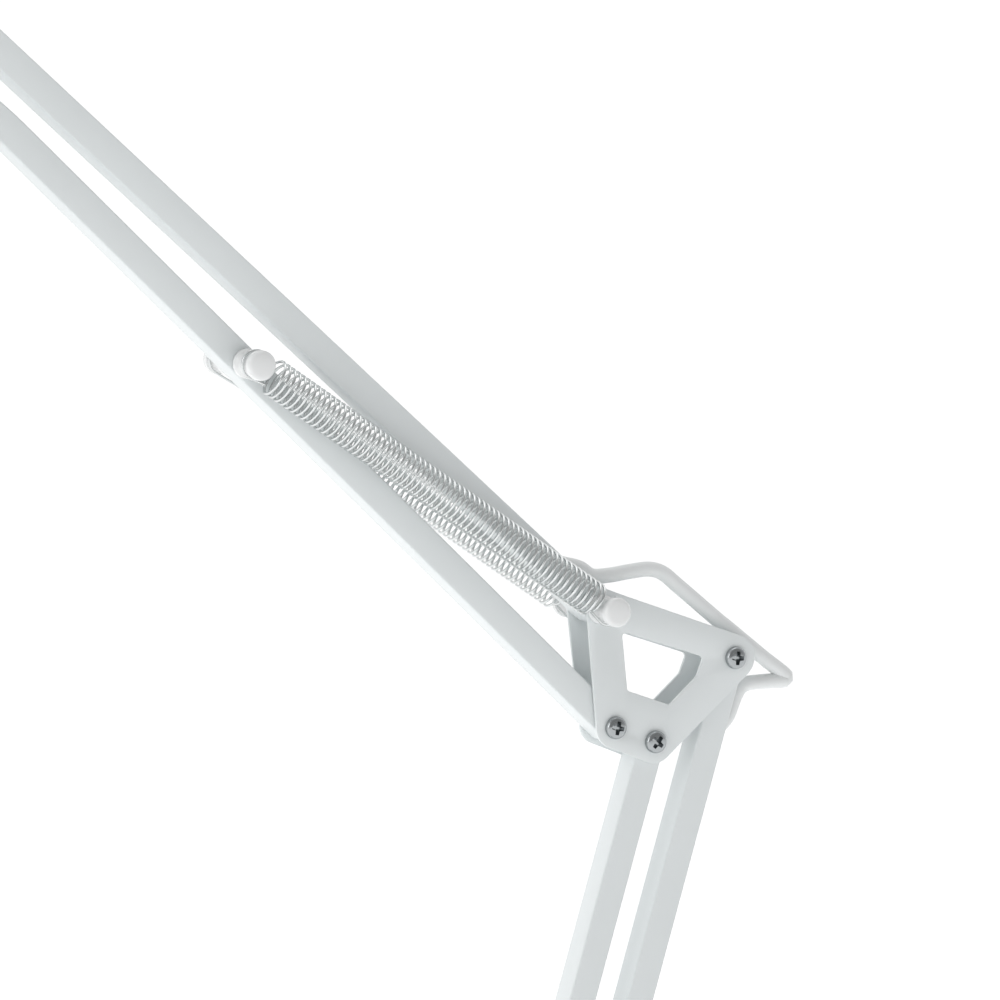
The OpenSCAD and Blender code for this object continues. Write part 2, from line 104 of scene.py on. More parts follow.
def wire(tree: bpy.types.NodeTree, *links: tuple) -> None:
    """Links nodes.

    Args:
        tree: The node tree.
        links: (node, output, node, input) of each link.
    """
    for source, output, target, socket in links:
        tree.links.new(source.outputs[output], target.inputs[socket])


@dataclass(frozen=True)
class Finish:
    """One surface finish, made from procedural nodes.

    Args:
        name: Plain name of the finish.
        colour: Linear base colour.
        rough: Roughness of the surface.
        metal: 1 for bare metal, 0 for paint, plastic and rubber.
        grain: Size of the surface texture, in features per metre.
        bump: Height of the surface texture, in metres.
        mottle: How much the roughness varies from place to place.
        coat: Weight of the clear top layer.
        specular: Specular level.
        anisotropic: Stretch of the highlight on drawn or turned metal.
        tint: How much darker the low places of the broad pattern are.
        sheen: Weight of the soft sheen.
        transmission: Share of the light that passes through.
    """

    name: str
    colour: tuple[float, float, float]
    rough: float
    metal: float = 0.0
    grain: float = 2500.0
    bump: float = 0.00002
    mottle: float = 0.06
    coat: float = 0.0
    specular: float = 0.5
    anisotropic: float = 0.0
    tint: float = 0.02
    sheen: float = 0.0
    transmission: float = 0.0

    def material(self) -> bpy.types.Material:
        """Builds the material once and returns it.

        Returns:
            The material of this finish.
        """
        known = bpy.data.materials.get(self.name)
        if known:
            return known
        mat = bpy.data.materials.new(self.name)
        mat.use_nodes = True
        tree = mat.node_tree
        tree.nodes.clear()
        out = node(tree, "OutputMaterial")
        bsdf = node(tree, "BsdfPrincipled", {
            "Metallic": self.metal, "Specular IOR Level": self.specular,
            "Coat Weight": self.coat, "Coat Roughness": 0.12, "Anisotropic": self.anisotropic,
            "Sheen Weight": self.sheen, "Transmission Weight": self.transmission})
        coord = node(tree, "TexCoord")
        fine = node(tree, "TexNoise", {"Scale": self.grain, "Detail": 3.0})
        broad = node(tree, "TexNoise", {"Scale": self.grain / 60.0, "Detail": 4.0})
        rough = node(tree, "MapRange", {"To Min": max(self.rough - self.mottle, 0.02),
                                        "To Max": min(self.rough + self.mottle, 1.0)})
        ramp = node(tree, "ValToRGB")
        low = [c * (1.0 - self.tint) for c in self.colour]
        for stop, place, colour in zip(ramp.color_ramp.elements, (0.35, 0.65),
                                       (low, self.colour)):
            stop.position = place
            stop.color = (*colour, 1.0)
        bump = node(tree, "Bump", {"Strength": 0.6, "Distance": self.bump})
        wire(tree, (coord, "Object", fine, "Vector"), (coord, "Object", broad, "Vector"),
             (broad, "Fac", rough, "Value"), (rough, "Result", bsdf, "Roughness"),
             (broad, "Fac", ramp, "Fac"), (ramp, "Color", bsdf, "Base Color"),
             (fine, "Fac", bump, "Height"), (bump, "Normal", bsdf, "Normal"),
             (bsdf, "BSDF", out, "Surface"))
        return mat


PAINT = Finish("white_powder_coat", (0.765, 0.80, 0.805), 0.42, grain=1800.0, bump=0.000012,
               coat=0.12, tint=0.015)
CAP_PLASTIC = Finish("white_gloss_plastic", (0.82, 0.83, 0.83), 0.24, grain=900.0,
                     bump=0.000004, coat=0.25, tint=0.01)
LEAD_PVC = Finish("white_lead_jacket", (0.80, 0.82, 0.82), 0.46, grain=1400.0,
                  bump=0.00001, tint=0.02)
SPRING_WIRE = Finish("bright_spring_wire", (0.72, 0.74, 0.74), 0.2, metal=1.0, grain=3000.0,
                     bump=0.000006, anisotropic=0.3, tint=0.06)
ZINC = Finish("zinc_plated_steel", (0.62, 0.63, 0.64), 0.27, metal=1.0, grain=2600.0,
              bump=0.000008, tint=0.08)
# Darker copy of the zinc, for the elbow's screws only: partly their own tone, partly painted shade
# standing in for the shade in their cross recesses and round their heads.
SCREW = Finish("screw_zinc_and_painted_shade", (0.40, 0.42, 0.43), 0.2, metal=1.0, grain=2600.0,
               bump=0.000004)
CAST = Finish("cast_iron", (0.05, 0.05, 0.055), 0.75, metal=0.6, grain=900.0, bump=0.0001,
              tint=0.2)
RUBBER = Finish("black_rubber", (0.02, 0.02, 0.02), 0.8, grain=1200.0, bump=0.00005,
                specular=0.3, sheen=0.1)
BRASS = Finish("lamp_brass", (0.72, 0.52, 0.22), 0.28, metal=1.0, grain=1500.0,
               bump=0.00001, tint=0.08)
OPAL = Finish("opal_glass", (0.93, 0.93, 0.90), 0.18, grain=300.0, bump=0.000002, coat=0.6,
              transmission=0.25)


# ---------------------------------------------------------------- sizes


def polar(angle: float) -> Vector:
    """Unit vector in the X-Z plane.

    Args:
        angle: Degrees, counted from +X towards +Z.

    Returns:
        The direction.
    """
    a = math.radians(angle)
    return Vector((math.cos(a), 0.0, math.sin(a)))


def flat(x: float, z: float) -> Vector:
    """Point or offset in the plane of the arms.

    Args:
        x: Millimetres along X.
        z: Millimetres along Z.

    Returns:
        The vector in metres.
    """
    return Vector((x * MM, 0.0, z * MM))


@dataclass
class LampSizes:
    """Places and sizes shared by every part of the lamp, in metres.

    Args:
        lower_len: Distance between the pivots of a lower tube.
        upper_len: The same for an upper tube.
        lower_angle: Direction of the lower tubes, in degrees.
        upper_angle: Direction of the upper tubes, in degrees.
        upper_lean: How far the upper tubes lean towards each other, in degrees.
        upper_post: Millimetres from the elbow to the springs' post on the upper arm.
        lower_post: Millimetres from the base bracket to the post on the lower arm.
        half_tube: Half of a tube's width.
        plate_in: Distance from the middle to a plate's inner face.
        plate_out: Distance from the middle to a plate's outer face.
        post_half: Distance from the middle to a post's end.
        cord_d: Diameter of the lead.
        base_r: Radius of the base.
        base_h: Height of the base.
        shade_r: Radius of the shade's rim.
        shade_h: Height of the shade.
        shade_drop: Distance from the tilt bolt down to the shade's top.
        a_off: Elbow pivot of the upper arm's top tube, from that of its bottom tube.
        c_off: Elbow pivot of the lower arm's left tube, from the same place.
        d_off: Elbow pivot of the lower arm's right tube, from the same place.
    """

    lower_len: float = 380 * MM
    upper_len: float = 400 * MM
    lower_angle: float = 72.9
    upper_angle: float = 137.83
    upper_lean: float = 0.9
    upper_post: float = 184.5
    lower_post: float = 165.0
    half_tube: float = 5 * MM
    plate_in: float = 5.4 * MM
    plate_out: float = 6.6 * MM
    post_half: float = 18.6 * MM
    cord_d: float = 5.2 * MM
    base_r: float = 95 * MM
    base_h: float = 17 * MM
    shade_r: float = 75 * MM
    shade_h: float = 121 * MM
    shade_drop: float = 29 * MM
    a_off: Vector = field(default_factory=lambda: flat(-5.6, 40))
    c_off: Vector = field(default_factory=lambda: flat(15.1, -5.6))
    d_off: Vector = field(default_factory=lambda: flat(45.7, 21.1))

    def __post_init__(self) -> None:
        """Works out the pivots from the base upwards."""
        self.ul = polar(self.lower_angle)
        self.uu = polar(self.upper_angle)
        half = (self.c_off - self.d_off) / 2
        self.cb = Vector((half.x, 0.0, 58 * MM))
        self.db = self.cb + self.d_off - self.c_off
        self.pd = self.db + self.lower_len * self.ul
        self.pb = self.pd - self.d_off
        self.pa = self.pb + self.a_off
        self.pc = self.pb + self.c_off
        self.hb = self.pb + self.upper_len * self.uu
        self.ha = self.pa + self.upper_len * self.uu
        self.hh = self.hb + flat(-42, 10)
        self.ps = self.on(self.pb, self.uu, self.upper_post, -self.lean_at(self.upper_post))
        self.pl = self.cb + self.lower_post * MM * self.ul
        self.shade_top = self.hh.z - self.shade_drop
        self.spring_y = (self.plate_out + self.post_half - 2 * MM) / 2 + 1 * MM

    def lean_at(self, x: float) -> float:
        """How far an upper tube's middle lies off the line of its pivots.

        Args:
            x: Millimetres from the elbow's pivot.

        Returns:
            Millimetres towards the other tube.
        """
        start, stop = self.upper_len / MM - 98, self.upper_len / MM - 40
        slope = math.tan(math.radians(self.upper_lean))

        def raw(t: float) -> float:
            if t <= start:
                return t * slope
            return max(start * slope * (stop - t) / (stop - start), 0.0)

        return sum(raw(x + d) for d in (-8, -4, 0, 4, 8)) / 5

    def top(self, t: float, s: float) -> Vector:
        """Point inside the upper arm's top tube.

        Args:
            t: Millimetres along the tube.
            s: Millimetres to its left.

        Returns:
            The point in metres.
        """
        return self.on(self.pa, self.uu, t, s + self.lean_at(t))

    def on(self, origin: Vector, along: Vector, t: float, s: float) -> Vector:
        """Point beside a tube.

        Args:
            origin: The pivot it is counted from.
            along: The tube's direction.
            t: Millimetres along the tube.
            s: Millimetres to the tube's left.

        Returns:
            The point in metres.
        """
        left = Vector((-along.z, 0.0, along.x))
        return origin + along * t * MM + left * s * MM


# ---------------------------------------------------------------- mesh making


def finished(name: str, bm: bmesh.types.BMesh, finish: Finish, body: Body | None,
             sharp: float = 35.0, replaces: tuple[str, ...] = ()) -> bpy.types.Object:
    """Turns a bmesh into a shown piece of the lamp.

    Args:
        name: Name of the piece.
        bm: The finished geometry, in the row frame; it is freed.
        finish: Its surface finish.
        body: The moving group it rides on, or None to leave it on no body.
        sharp: Edges with a larger angle than this stay crisp, in degrees.
        replaces: Frame nodes that this piece stands for.

    Returns:
        The new object.
    """
    bmesh.ops.remove_doubles(bm, verts=bm.verts, dist=1e-7)
    bmesh.ops.recalc_face_normals(bm, faces=bm.faces)
    mesh = bpy.data.meshes.new(name)
    for face in bm.faces:
        face.smooth = True
    bm.to_mesh(mesh)
    bm.free()
    mesh.set_sharp_from_angle(angle=math.radians(sharp))
    mesh.materials.append(finish.material())
    obj = bpy.data.objects.new(name, mesh)
    bpy.context.scene.collection.objects.link(obj)
    if body is not None:
        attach(obj, body.value)
    if replaces:
        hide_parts(*replaces)
    return obj


def lathe_into(bm: bmesh.types.BMesh, profile: list[tuple[float, float]], origin: Vector,
               axis: Vector, steps: int = 48) -> None:
    """Adds a turned solid.

    Args:
        bm: Where it is added.
        profile: (radius, height) pairs in millimetres, closed on the axis or into a ring.
        origin: Where height 0 lies.
        axis: The turning axis.
        steps: Segments round the turn.
    """
    part = bmesh.new()
    verts = [part.verts.new((r * MM, 0.0, h * MM)) for r, h in profile]
    edges = [part.edges.new((a, b)) for a, b in zip(verts, verts[1:])]
    if profile[0][0] and profile[-1][0]:
        edges.append(part.edges.new((verts[-1], verts[0])))
    bmesh.ops.spin(part, geom=verts + edges, cent=(0, 0, 0), axis=(0, 0, 1),
                   angle=math.tau, steps=steps, use_merge=True, use_duplicate=False)
    bmesh.ops.remove_doubles(part, verts=part.verts, dist=1e-7)
    turn = axis.to_track_quat("Z", "Y").to_matrix().to_4x4()
    bmesh.ops.transform(part, matrix=Matrix.Translation(origin) @ turn, verts=part.verts)
    merge(bm, part)


def turned(name: str, profile: list[tuple[float, float]], origin: Vector, finish: Finish,
           body: Body, steps: int, axis: Vector = UP, sharp: float = 40.0) -> None:
    """Makes a shown piece that is one turned solid and stands for the node of its name.

    Args:
        name: Name of the piece.
        profile: (radius, height) pairs in millimetres.
        origin: Where height 0 lies.
        finish: Its finish.
        body: The moving group it rides on.
        steps: Segments round the turn.
        axis: The turning axis.
        sharp: Edges with a larger angle than this stay crisp, in degrees.
    """
    bm = bmesh.new()
    lathe_into(bm, profile, origin, axis, steps)
    finished(name, bm, finish, body, sharp, (name,))


def arc(r0: float, h0: float, radius: float, degrees: range) -> list[tuple[float, float]]:
    """Stretch of a circle in a turned profile.

    Args:
        r0: Radius at its centre.
        h0: Height of its centre.
        radius: Its own radius.
        degrees: Angles of its points.

    Returns:
        The profile's points, in millimetres.
    """
    return [(r0 + radius * math.cos(a), h0 + radius * math.sin(a))
            for a in map(math.radians, degrees)]


def ribs(count: int, start: float, pitch: float, radius: float, grow: float, depth: float,
         steps: tuple[float, float, float]) -> list[tuple[float, float]]:
    """Ribbed stretch of a strain relief's profile.

    Args:
        count: Number of ribs.
        start: Height of the first rib.
        pitch: Distance from rib to rib.
        radius: Radius of the first rib.
        grow: Change of radius from rib to rib.
        depth: Depth of the grooves.
        steps: Heights of a rib's end and of the groove's start and end, from its start.

    Returns:
        The profile's points, in millimetres.
    """
    out = []
    for i in range(count):
        z, r = start + i * pitch, radius + i * grow
        out += [(r, z), (r, z + steps[0]), (r - depth, z + steps[1]), (r - depth, z + steps[2])]
    return out


def box_into(bm: bmesh.types.BMesh, centre: Vector, size: tuple[float, float, float],
             ease: float, segments: int) -> None:
    """Adds a block with rounded edges.

    Args:
        bm: Where it is added.
        centre: Its centre.
        size: Its sizes in millimetres.
        ease: Radius of its edges in millimetres.
        segments: Segments across an edge.
    """
    part = bmesh.new()
    bmesh.ops.create_cube(part, size=1.0)
    bmesh.ops.scale(part, vec=Vector(size) * MM, verts=part.verts)
    bmesh.ops.translate(part, vec=centre, verts=part.verts)
    bmesh.ops.bevel(part, geom=part.edges, offset=ease * MM, segments=segments, profile=0.5,
                    affect="EDGES", material=-1)
    merge(bm, part)


def smooth_path(points: list[Vector], step: float) -> list[Vector]:
    """Even points on a smooth curve through the given ones.

    Args:
        points: The points the curve passes through.
        step: Spacing wanted, in metres.

    Returns:
        The new points, ends kept.
    """
    dense: list[Vector] = []
    n = len(points)
    for i in range(n - 1):
        p0 = points[i - 1] if i else points[0] * 2 - points[1]
        p1, p2 = points[i], points[i + 1]
        p3 = points[i + 2] if i + 2 < n else p2 * 2 - p1
        t0, t1 = 0.0, max((p1 - p0).length, 1e-9) ** 0.5
        t2 = t1 + max((p2 - p1).length, 1e-9) ** 0.5
        t3 = t2 + max((p3 - p2).length, 1e-9) ** 0.5
        for k in range(12):
            t = t1 + (t2 - t1) * k / 12
            a1 = p0 * ((t1 - t) / (t1 - t0)) + p1 * ((t - t0) / (t1 - t0))
            a2 = p1 * ((t2 - t) / (t2 - t1)) + p2 * ((t - t1) / (t2 - t1))
            a3 = p2 * ((t3 - t) / (t3 - t2)) + p3 * ((t - t2) / (t3 - t2))
            b1 = a1 * ((t2 - t) / (t2 - t0)) + a2 * ((t - t0) / (t2 - t0))
            b2 = a2 * ((t3 - t) / (t3 - t1)) + a3 * ((t - t1) / (t3 - t1))
            dense.append(b1 * ((t2 - t) / (t2 - t1)) + b2 * ((t - t1) / (t2 - t1)))
    dense.append(points[-1].copy())
    length = sum((b - a).length for a, b in zip(dense, dense[1:]))
    count = max(int(round(length / step)), 2)
    out = [dense[0].copy()]
    walked, nxt = 0.0, length / count
    for a, b in zip(dense, dense[1:]):
        seg = (b - a).length
        while seg > 0 and walked + seg >= nxt - 1e-12 and len(out) < count:
            out.append(a.lerp(b, (nxt - walked) / seg))
            nxt += length / count
        walked += seg
    out.append(dense[-1].copy())
    return out


def sweep_into(bm: bmesh.types.BMesh, path: list[Vector], radius: float, sides: int,
               up: Vector) -> None:
    """Adds a round tube along a path, closed at both ends.

    Args:
        bm: Where it is added.
        path: Points of the centreline.
        radius: Radius of the tube.
        sides: Sides of its round section.
        up: A direction to start the section's orientation from.
    """
    n = len(path)
    tangents = [(path[min(i + 1, n - 1)] - path[max(i - 1, 0)]).normalized() for i in range(n)]
    part = bmesh.new()
    grid = bmesh.ops.create_grid(part, x_segments=sides, y_segments=n - 1, size=1.0)["verts"]
    grid.sort(key=lambda v: (round(v.co.y, 6), v.co.x))
    u = (up - tangents[0] * up.dot(tangents[0])).normalized()
    for i in range(n):
        u = (u - tangents[i] * u.dot(tangents[i])).normalized()
        w = tangents[i].cross(u)
        for k, vert in enumerate(grid[i * (sides + 1):(i + 1) * (sides + 1)]):
            a = math.tau * (k % sides) / sides
            vert.co = path[i] + (u * math.cos(a) + w * math.sin(a)) * radius
    bmesh.ops.remove_doubles(part, verts=part.verts, dist=1e-7)
    bmesh.ops.holes_fill(part, edges=part.edges, sides=sides)
    merge(bm, part)


def swept(name: str, path: list[Vector], radius: float, finish: Finish, body: Body | None,
          replaces: tuple[str, ...] = (), sides: int = 20) -> bpy.types.Object:
    """One round tube along a path, such as a stretch of the lead.

    Args:
        name: Name of the piece.
        path: Points of the centreline.
        radius: Its radius.
        finish: Its finish.
        body: The moving group it rides on, or None.
        replaces: Frame nodes that it stands for.
        sides: Sides of its round section.

    Returns:
        The new object.
    """
    bm = bmesh.new()
    sweep_into(bm, path, radius, sides, REARWARD)
    return finished(name, bm, finish, body, 60.0, replaces)


def round_outline(points: list[Vector], radii: list[float], k: int = 10) -> list[Vector]:
    """Outline with round corners of their own radii.

    Args:
        points: Corner centres, anticlockwise in X-Z, in metres.
        radii: Radius of each corner.
        k: Segments in each corner.

    Returns:
        The outline's points.
    """
    def touch(p: Vector, q: Vector, r1: float, r2: float) -> float:
        d = q - p
        e = d.normalized()
        s = (r1 - r2) / d.length
        c = math.sqrt(1 - s * s)
        return math.atan2(-e.x * c + e.z * s, e.z * c + e.x * s)

    n = len(points)
    out = []
    for i in range(n):
        h, j = (i - 1) % n, (i + 1) % n
        a = touch(points[h], points[i], radii[h], radii[i])
        b = touch(points[i], points[j], radii[i], radii[j])
        if b < a:
            b += math.tau
        for t in range(k + 1):
            w = a + (b - a) * t / k
            out.append(points[i] + Vector((math.cos(w), 0, math.sin(w))) * radii[i])
    return out


def circle_outline(centre: Vector, radius: float, k: int = 32) -> list[Vector]:
    """Points round a circle in the X-Z plane.

    Args:
        centre: Its centre.
        radius: Its radius.
        k: Number of points.

    Returns:
        The points.
    """
    return [centre + Vector((math.cos(math.tau * i / k), 0, math.sin(math.tau * i / k))) * radius
            for i in range(k)]


def plate_into(bm: bmesh.types.BMesh, outer: list[Vector], holes: list[list[Vector]],
               y0: float, y1: float, ease: float) -> None:
    """Adds a flat plate in the X-Z plane with holes and eased edges.

    Args:
        bm: Where it is added.
        outer: The outside outline.
        holes: The outlines cut out of it.
        y0: Front face.
        y1: Rear face.
        ease: Size of the eased edges.
    """
    part = bmesh.new()
    edges = []
    for loop in [outer, *holes]:
        verts = [part.verts.new((p.x, y0, p.z)) for p in loop]
        edges += [part.edges.new((a, b)) for a, b in zip(verts, verts[1:] + verts[:1])]
    bmesh.ops.triangle_fill(part, edges=edges, use_beauty=True, use_dissolve=False)
    made = bmesh.ops.extrude_face_region(part, geom=list(part.faces), use_keep_orig=True)["geom"]
    bmesh.ops.translate(part, vec=(0, y1 - y0, 0),
                        verts=[g for g in made if isinstance(g, bmesh.types.BMVert)])
    bmesh.ops.recalc_face_normals(part, faces=part.faces)
    rim = [e for e in part.edges if len(e.link_faces) == 2
           and sum(abs(f.normal.y) > 0.9 for f in e.link_faces) == 1]
    bmesh.ops.bevel(part, geom=rim, offset=ease, segments=2, profile=0.5, affect="EDGES",
                    material=-1, clamp_overlap=True)
    merge(bm, part)


def merge(bm: bmesh.types.BMesh, part: bmesh.types.BMesh) -> None:
    """Adds one bmesh to another and frees it.

    Args:
        bm: Where it is added.
        part: What is added.
    """
    tmp = bpy.data.meshes.new("tmp")
    part.to_mesh(tmp)
    part.free()
    bm.from_mesh(tmp)
    bpy.data.meshes.remove(tmp)


def node_finish(nodes: dict[str, Finish]) -> None:
    """Gives frame nodes that stay shown their finishes.

    Args:
        nodes: Finish by node name.
    """
    for name, finish in nodes.items():
        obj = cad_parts[name]
        obj.data.materials.clear()
        obj.data.materials.append(finish.material())


# ---------------------------------------------------------------- hardware


@dataclass
class PanScrew:
    """Cross-head pan screw along Y, with its nut behind the rear plate.

    Args:
        centre: The pivot it passes through.
        turn: How far the cross is turned, in degrees.
        head_r: Radius of the head.
    """

    centre: Vector
    turn: float
    head_r: float = 3.8 * MM

    def head_into(self, bm: bmesh.types.BMesh, y_seat: float) -> None:
        """Adds the head with its cross recess.

        Args:
            bm: Where it is added.
            y_seat: The plate face the head sits on.
        """
        part = bmesh.new()
        r = self.head_r
        prof = [(r * 0.95, 0.0), (r, 0.12 * MM), (r, 0.75 * MM), (r * 0.975, 1.2 * MM),
                (r * 0.91, 1.62 * MM), (r * 0.8, 1.95 * MM), (r * 0.68, 2.12 * MM)]
        steps = 48
        rings = []
        for rr, h in prof:
            rings.append([part.verts.new((rr * math.cos(math.tau * i / steps), -h,
                                          rr * math.sin(math.tau * i / steps)))
                          for i in range(steps)])
        loops = [[part.edges.new((a, b)) for a, b in zip(g, g[1:] + g[:1])] for g in rings]
        for a, b in zip(loops, loops[1:]):
            bmesh.ops.bridge_loops(part, edges=a + b)
        bmesh.ops.contextual_create(part, geom=rings[0])
        top = -2.2 * MM
        cross = self._cross(2.3 * MM, 0.62 * MM, top)
        cv = [part.verts.new(p) for p in cross]
        ce = [part.edges.new((a, b)) for a, b in zip(cv, cv[1:] + cv[:1])]
        bmesh.ops.triangle_fill(part, edges=loops[-1] + ce, use_beauty=True)
        low = self._cross(1.5 * MM, 0.3 * MM, top + 1.9 * MM)
        made = bmesh.ops.extrude_edge_only(part, edges=ce)["geom"]
        new = [g for g in made if isinstance(g, bmesh.types.BMVert)]
        for v in new:
            old = next(e.other_vert(v) for e in v.link_edges if e.other_vert(v) not in new)
            v.co = low[cv.index(old)]
        bmesh.ops.contextual_create(part, geom=[g for g in made if isinstance(g, bmesh.types.BMEdge)
                                                and g.verts[0] in new and g.verts[1] in new])
        turn = Matrix.Rotation(math.radians(self.turn), 4, "Y")
        place = Matrix.Translation(self.centre + Vector((0, y_seat, 0)))
        bmesh.ops.transform(part, matrix=place @ turn, verts=part.verts)
        merge(bm, part)

    @staticmethod
    def _cross(reach: float, half: float, y: float) -> list[Vector]:
        """Outline of the cross recess.

        Args:
            reach: Half length of an arm.
            half: Half width of an arm.
            y: Height it is drawn at.

        Returns:
            Twelve corner points in order.
        """
        pts = []
        for q in range(4):
            c, s = math.cos(q * math.pi / 2), math.sin(q * math.pi / 2)
            for x, z in ((reach, -half), (reach, half), (half * 1.35, half * 1.35)):
                pts.append(Vector((x * c - z * s, y, x * s + z * c)))
        return pts

    def shank_into(self, bm: bmesh.types.BMesh, y0: float, y1: float) -> None:
        """Adds the plain shank.

        Args:
            bm: Where it is added.
            y0: Front end.
            y1: Rear end.
        """
        length = (y1 - y0) / MM
        prof = [(0, 0), (2, 0), (2, length - 0.5), (1.6, length), (0, length)]
        lathe_into(bm, prof, self.centre + Vector((0, y0, 0)), REARWARD, 32)

    def nut_into(self, bm: bmesh.types.BMesh, y0: float) -> None:
        """Adds the hexagon nut with its nylon collar.

        Args:
            bm: Where it is added.
            y0: Plate face the nut bears on.
        """
        r = 3.5 * MM / math.cos(math.pi / 6)
        hexagon = circle_outline(self.centre, r, 6)
        hole = circle_outline(self.centre, PIVOT_HOLE, 24)
        plate_into(bm, hexagon, [hole], y0, y0 + 2.4 * MM, 0.25 * MM)
        prof = [(2.05, 0), (3.2, 0), (3.1, 0.6), (2.7, 0.8), (2.05, 0.8)]
        lathe_into(bm, prof, self.centre + Vector((0, y0 + 2.4 * MM, 0)), REARWARD, 32)


def screw_set(sizes: LampSizes, screws: list[PanScrew], body: Body, name: str,
              nuts: str = "", finish: Finish = ZINC, over: float = 4.5 * MM) -> None:
    """Makes the screws of a bracket and their nuts.

    Args:
        sizes: The lamp's sizes.
        screws: The screws.
        body: The moving group they belong to.
        name: Name of the screws' piece.
        nuts: Name of the nuts' piece, or nothing if they belong to the screws' piece.
        finish: The screws' finish.
        over: Length of the shanks beyond the rear plate.
    """
    bm = bmesh.new()
    nut_bm = bmesh.new() if nuts else bm
    for screw in screws:
        screw.head_into(bm, -sizes.plate_out)
        screw.shank_into(bm, -sizes.plate_out, sizes.plate_out + over)
        screw.nut_into(nut_bm, sizes.plate_out)
    finished(name, bm, finish, body, 30.0, (name,))
    if nuts:
        finished(nuts, nut_bm, ZINC, body, 30.0, (nuts,))


def spring_post(name: str, centre: Vector, seat: float, reach: float, body: Body) -> None:
    """Makes the white collars, necks and caps at both ends of a cross pin.

    Args:
        name: Name of the piece.
        centre: Where the pin crosses the arm.
        seat: Distance from the middle to the face that the collars sit on.
        reach: Distance from the middle to the caps' faces.
        body: The moving group it belongs to.
    """
    length, r, neck = (reach - seat) / MM, 4.95, 3.9
    cap = length - 3.9
    prof = [(0, 0), (r - 0.5, 0), (r - 0.1, 0.2), (r, 0.6), (r, 1.7), (r - 0.15, 2.1),
            (r - 0.6, 2.5), (neck + 0.15, 2.8), (neck, 3.2), (neck, cap - 0.5),
            (neck + 0.2, cap - 0.1), (r - 0.5, cap + 0.1), (r - 0.1, cap + 0.4), (r, cap + 0.9),
            (r, length - 1.6), (r - 0.12, length - 1.1), (r - 0.45, length - 0.62),
            (r - 1.0, length - 0.3), (r - 1.9, length - 0.1), (0, length)]
    bm = bmesh.new()
    for side in Side:
        lathe_into(bm, prof, centre + Vector((0, side.value * seat, 0)),
                   Vector((0, side.value, 0)), 56)
    finished(name, bm, CAP_PLASTIC, body, 30.0, (name,))


@dataclass
class ArmSpring:
    """Pair of open-wound wire springs between two posts.

    Args:
        start: Fixed post.
        end: Post on the moving tube.
        y: Distance of the springs from the middle plane.
        outer_d: Outside diameter of the coils.
        wire_d: Diameter of the wire.
        pitch: Distance from turn to turn.
        lead_in: Distance from each post to the first coil.
        rear_hook: The same at the far end of the rear spring, whose hook is longer.
    """

    start: Vector
    end: Vector
    y: float
    outer_d: float = 12.6 * MM
    wire_d: float = 0.95 * MM
    pitch: float = 2.15 * MM
    lead_in: float = 6.2 * MM
    rear_hook: float = 6.2 * MM

    def path(self, side: Side) -> list[Vector]:
        """Centreline of the wire of one spring.

        Args:
            side: The side of the arm it is on.

        Returns:
            The wire's points, eye to eye.
        """
        along = (self.end - self.start).normalized()
        length = (self.end - self.start).length
        across = REARWARD
        third = along.cross(across)
        base = self.start + Vector((0, side.value * self.y, 0))
        r = (self.outer_d - self.wire_d) / 2
        eye = 4.75 * MM
        pts: list[Vector] = []

        def eye_points(centre: Vector, way: float) -> list[Vector]:
            return [centre + (along * -way * math.cos(a) + third * math.sin(a)) * eye
                    + across * 0.5 * MM * math.sin(a / 2) for a in
                    (math.radians(d) for d in range(-100, 101, 12))]

        pts += eye_points(base, 1.0)
        body = length - self.lead_in - (self.rear_hook if side is Side.REAR else self.lead_in)
        per = 22
        total = round(body / self.pitch) * per
        for i in range(total + 1):
            f = i / total
            grow = min(1.0, i / (0.55 * per), (total - i) / (0.55 * per))
            rr = r * (0.62 + 0.38 * math.sin(grow * math.pi / 2))
            a = math.tau * i / per + math.pi / 2
            pts.append(base + along * (self.lead_in + body * f)
                       + (third * math.sin(a) + across * math.cos(a)) * rr)
        pts += reversed(eye_points(base + along * length, -1.0))
        return pts

    def into(self, bm: bmesh.types.BMesh) -> None:
        """Adds both springs.

        Args:
            bm: Where they are added.
        """
        for side in Side:
            sweep_into(bm, self.path(side), self.wire_d / 2, 8, REARWARD)


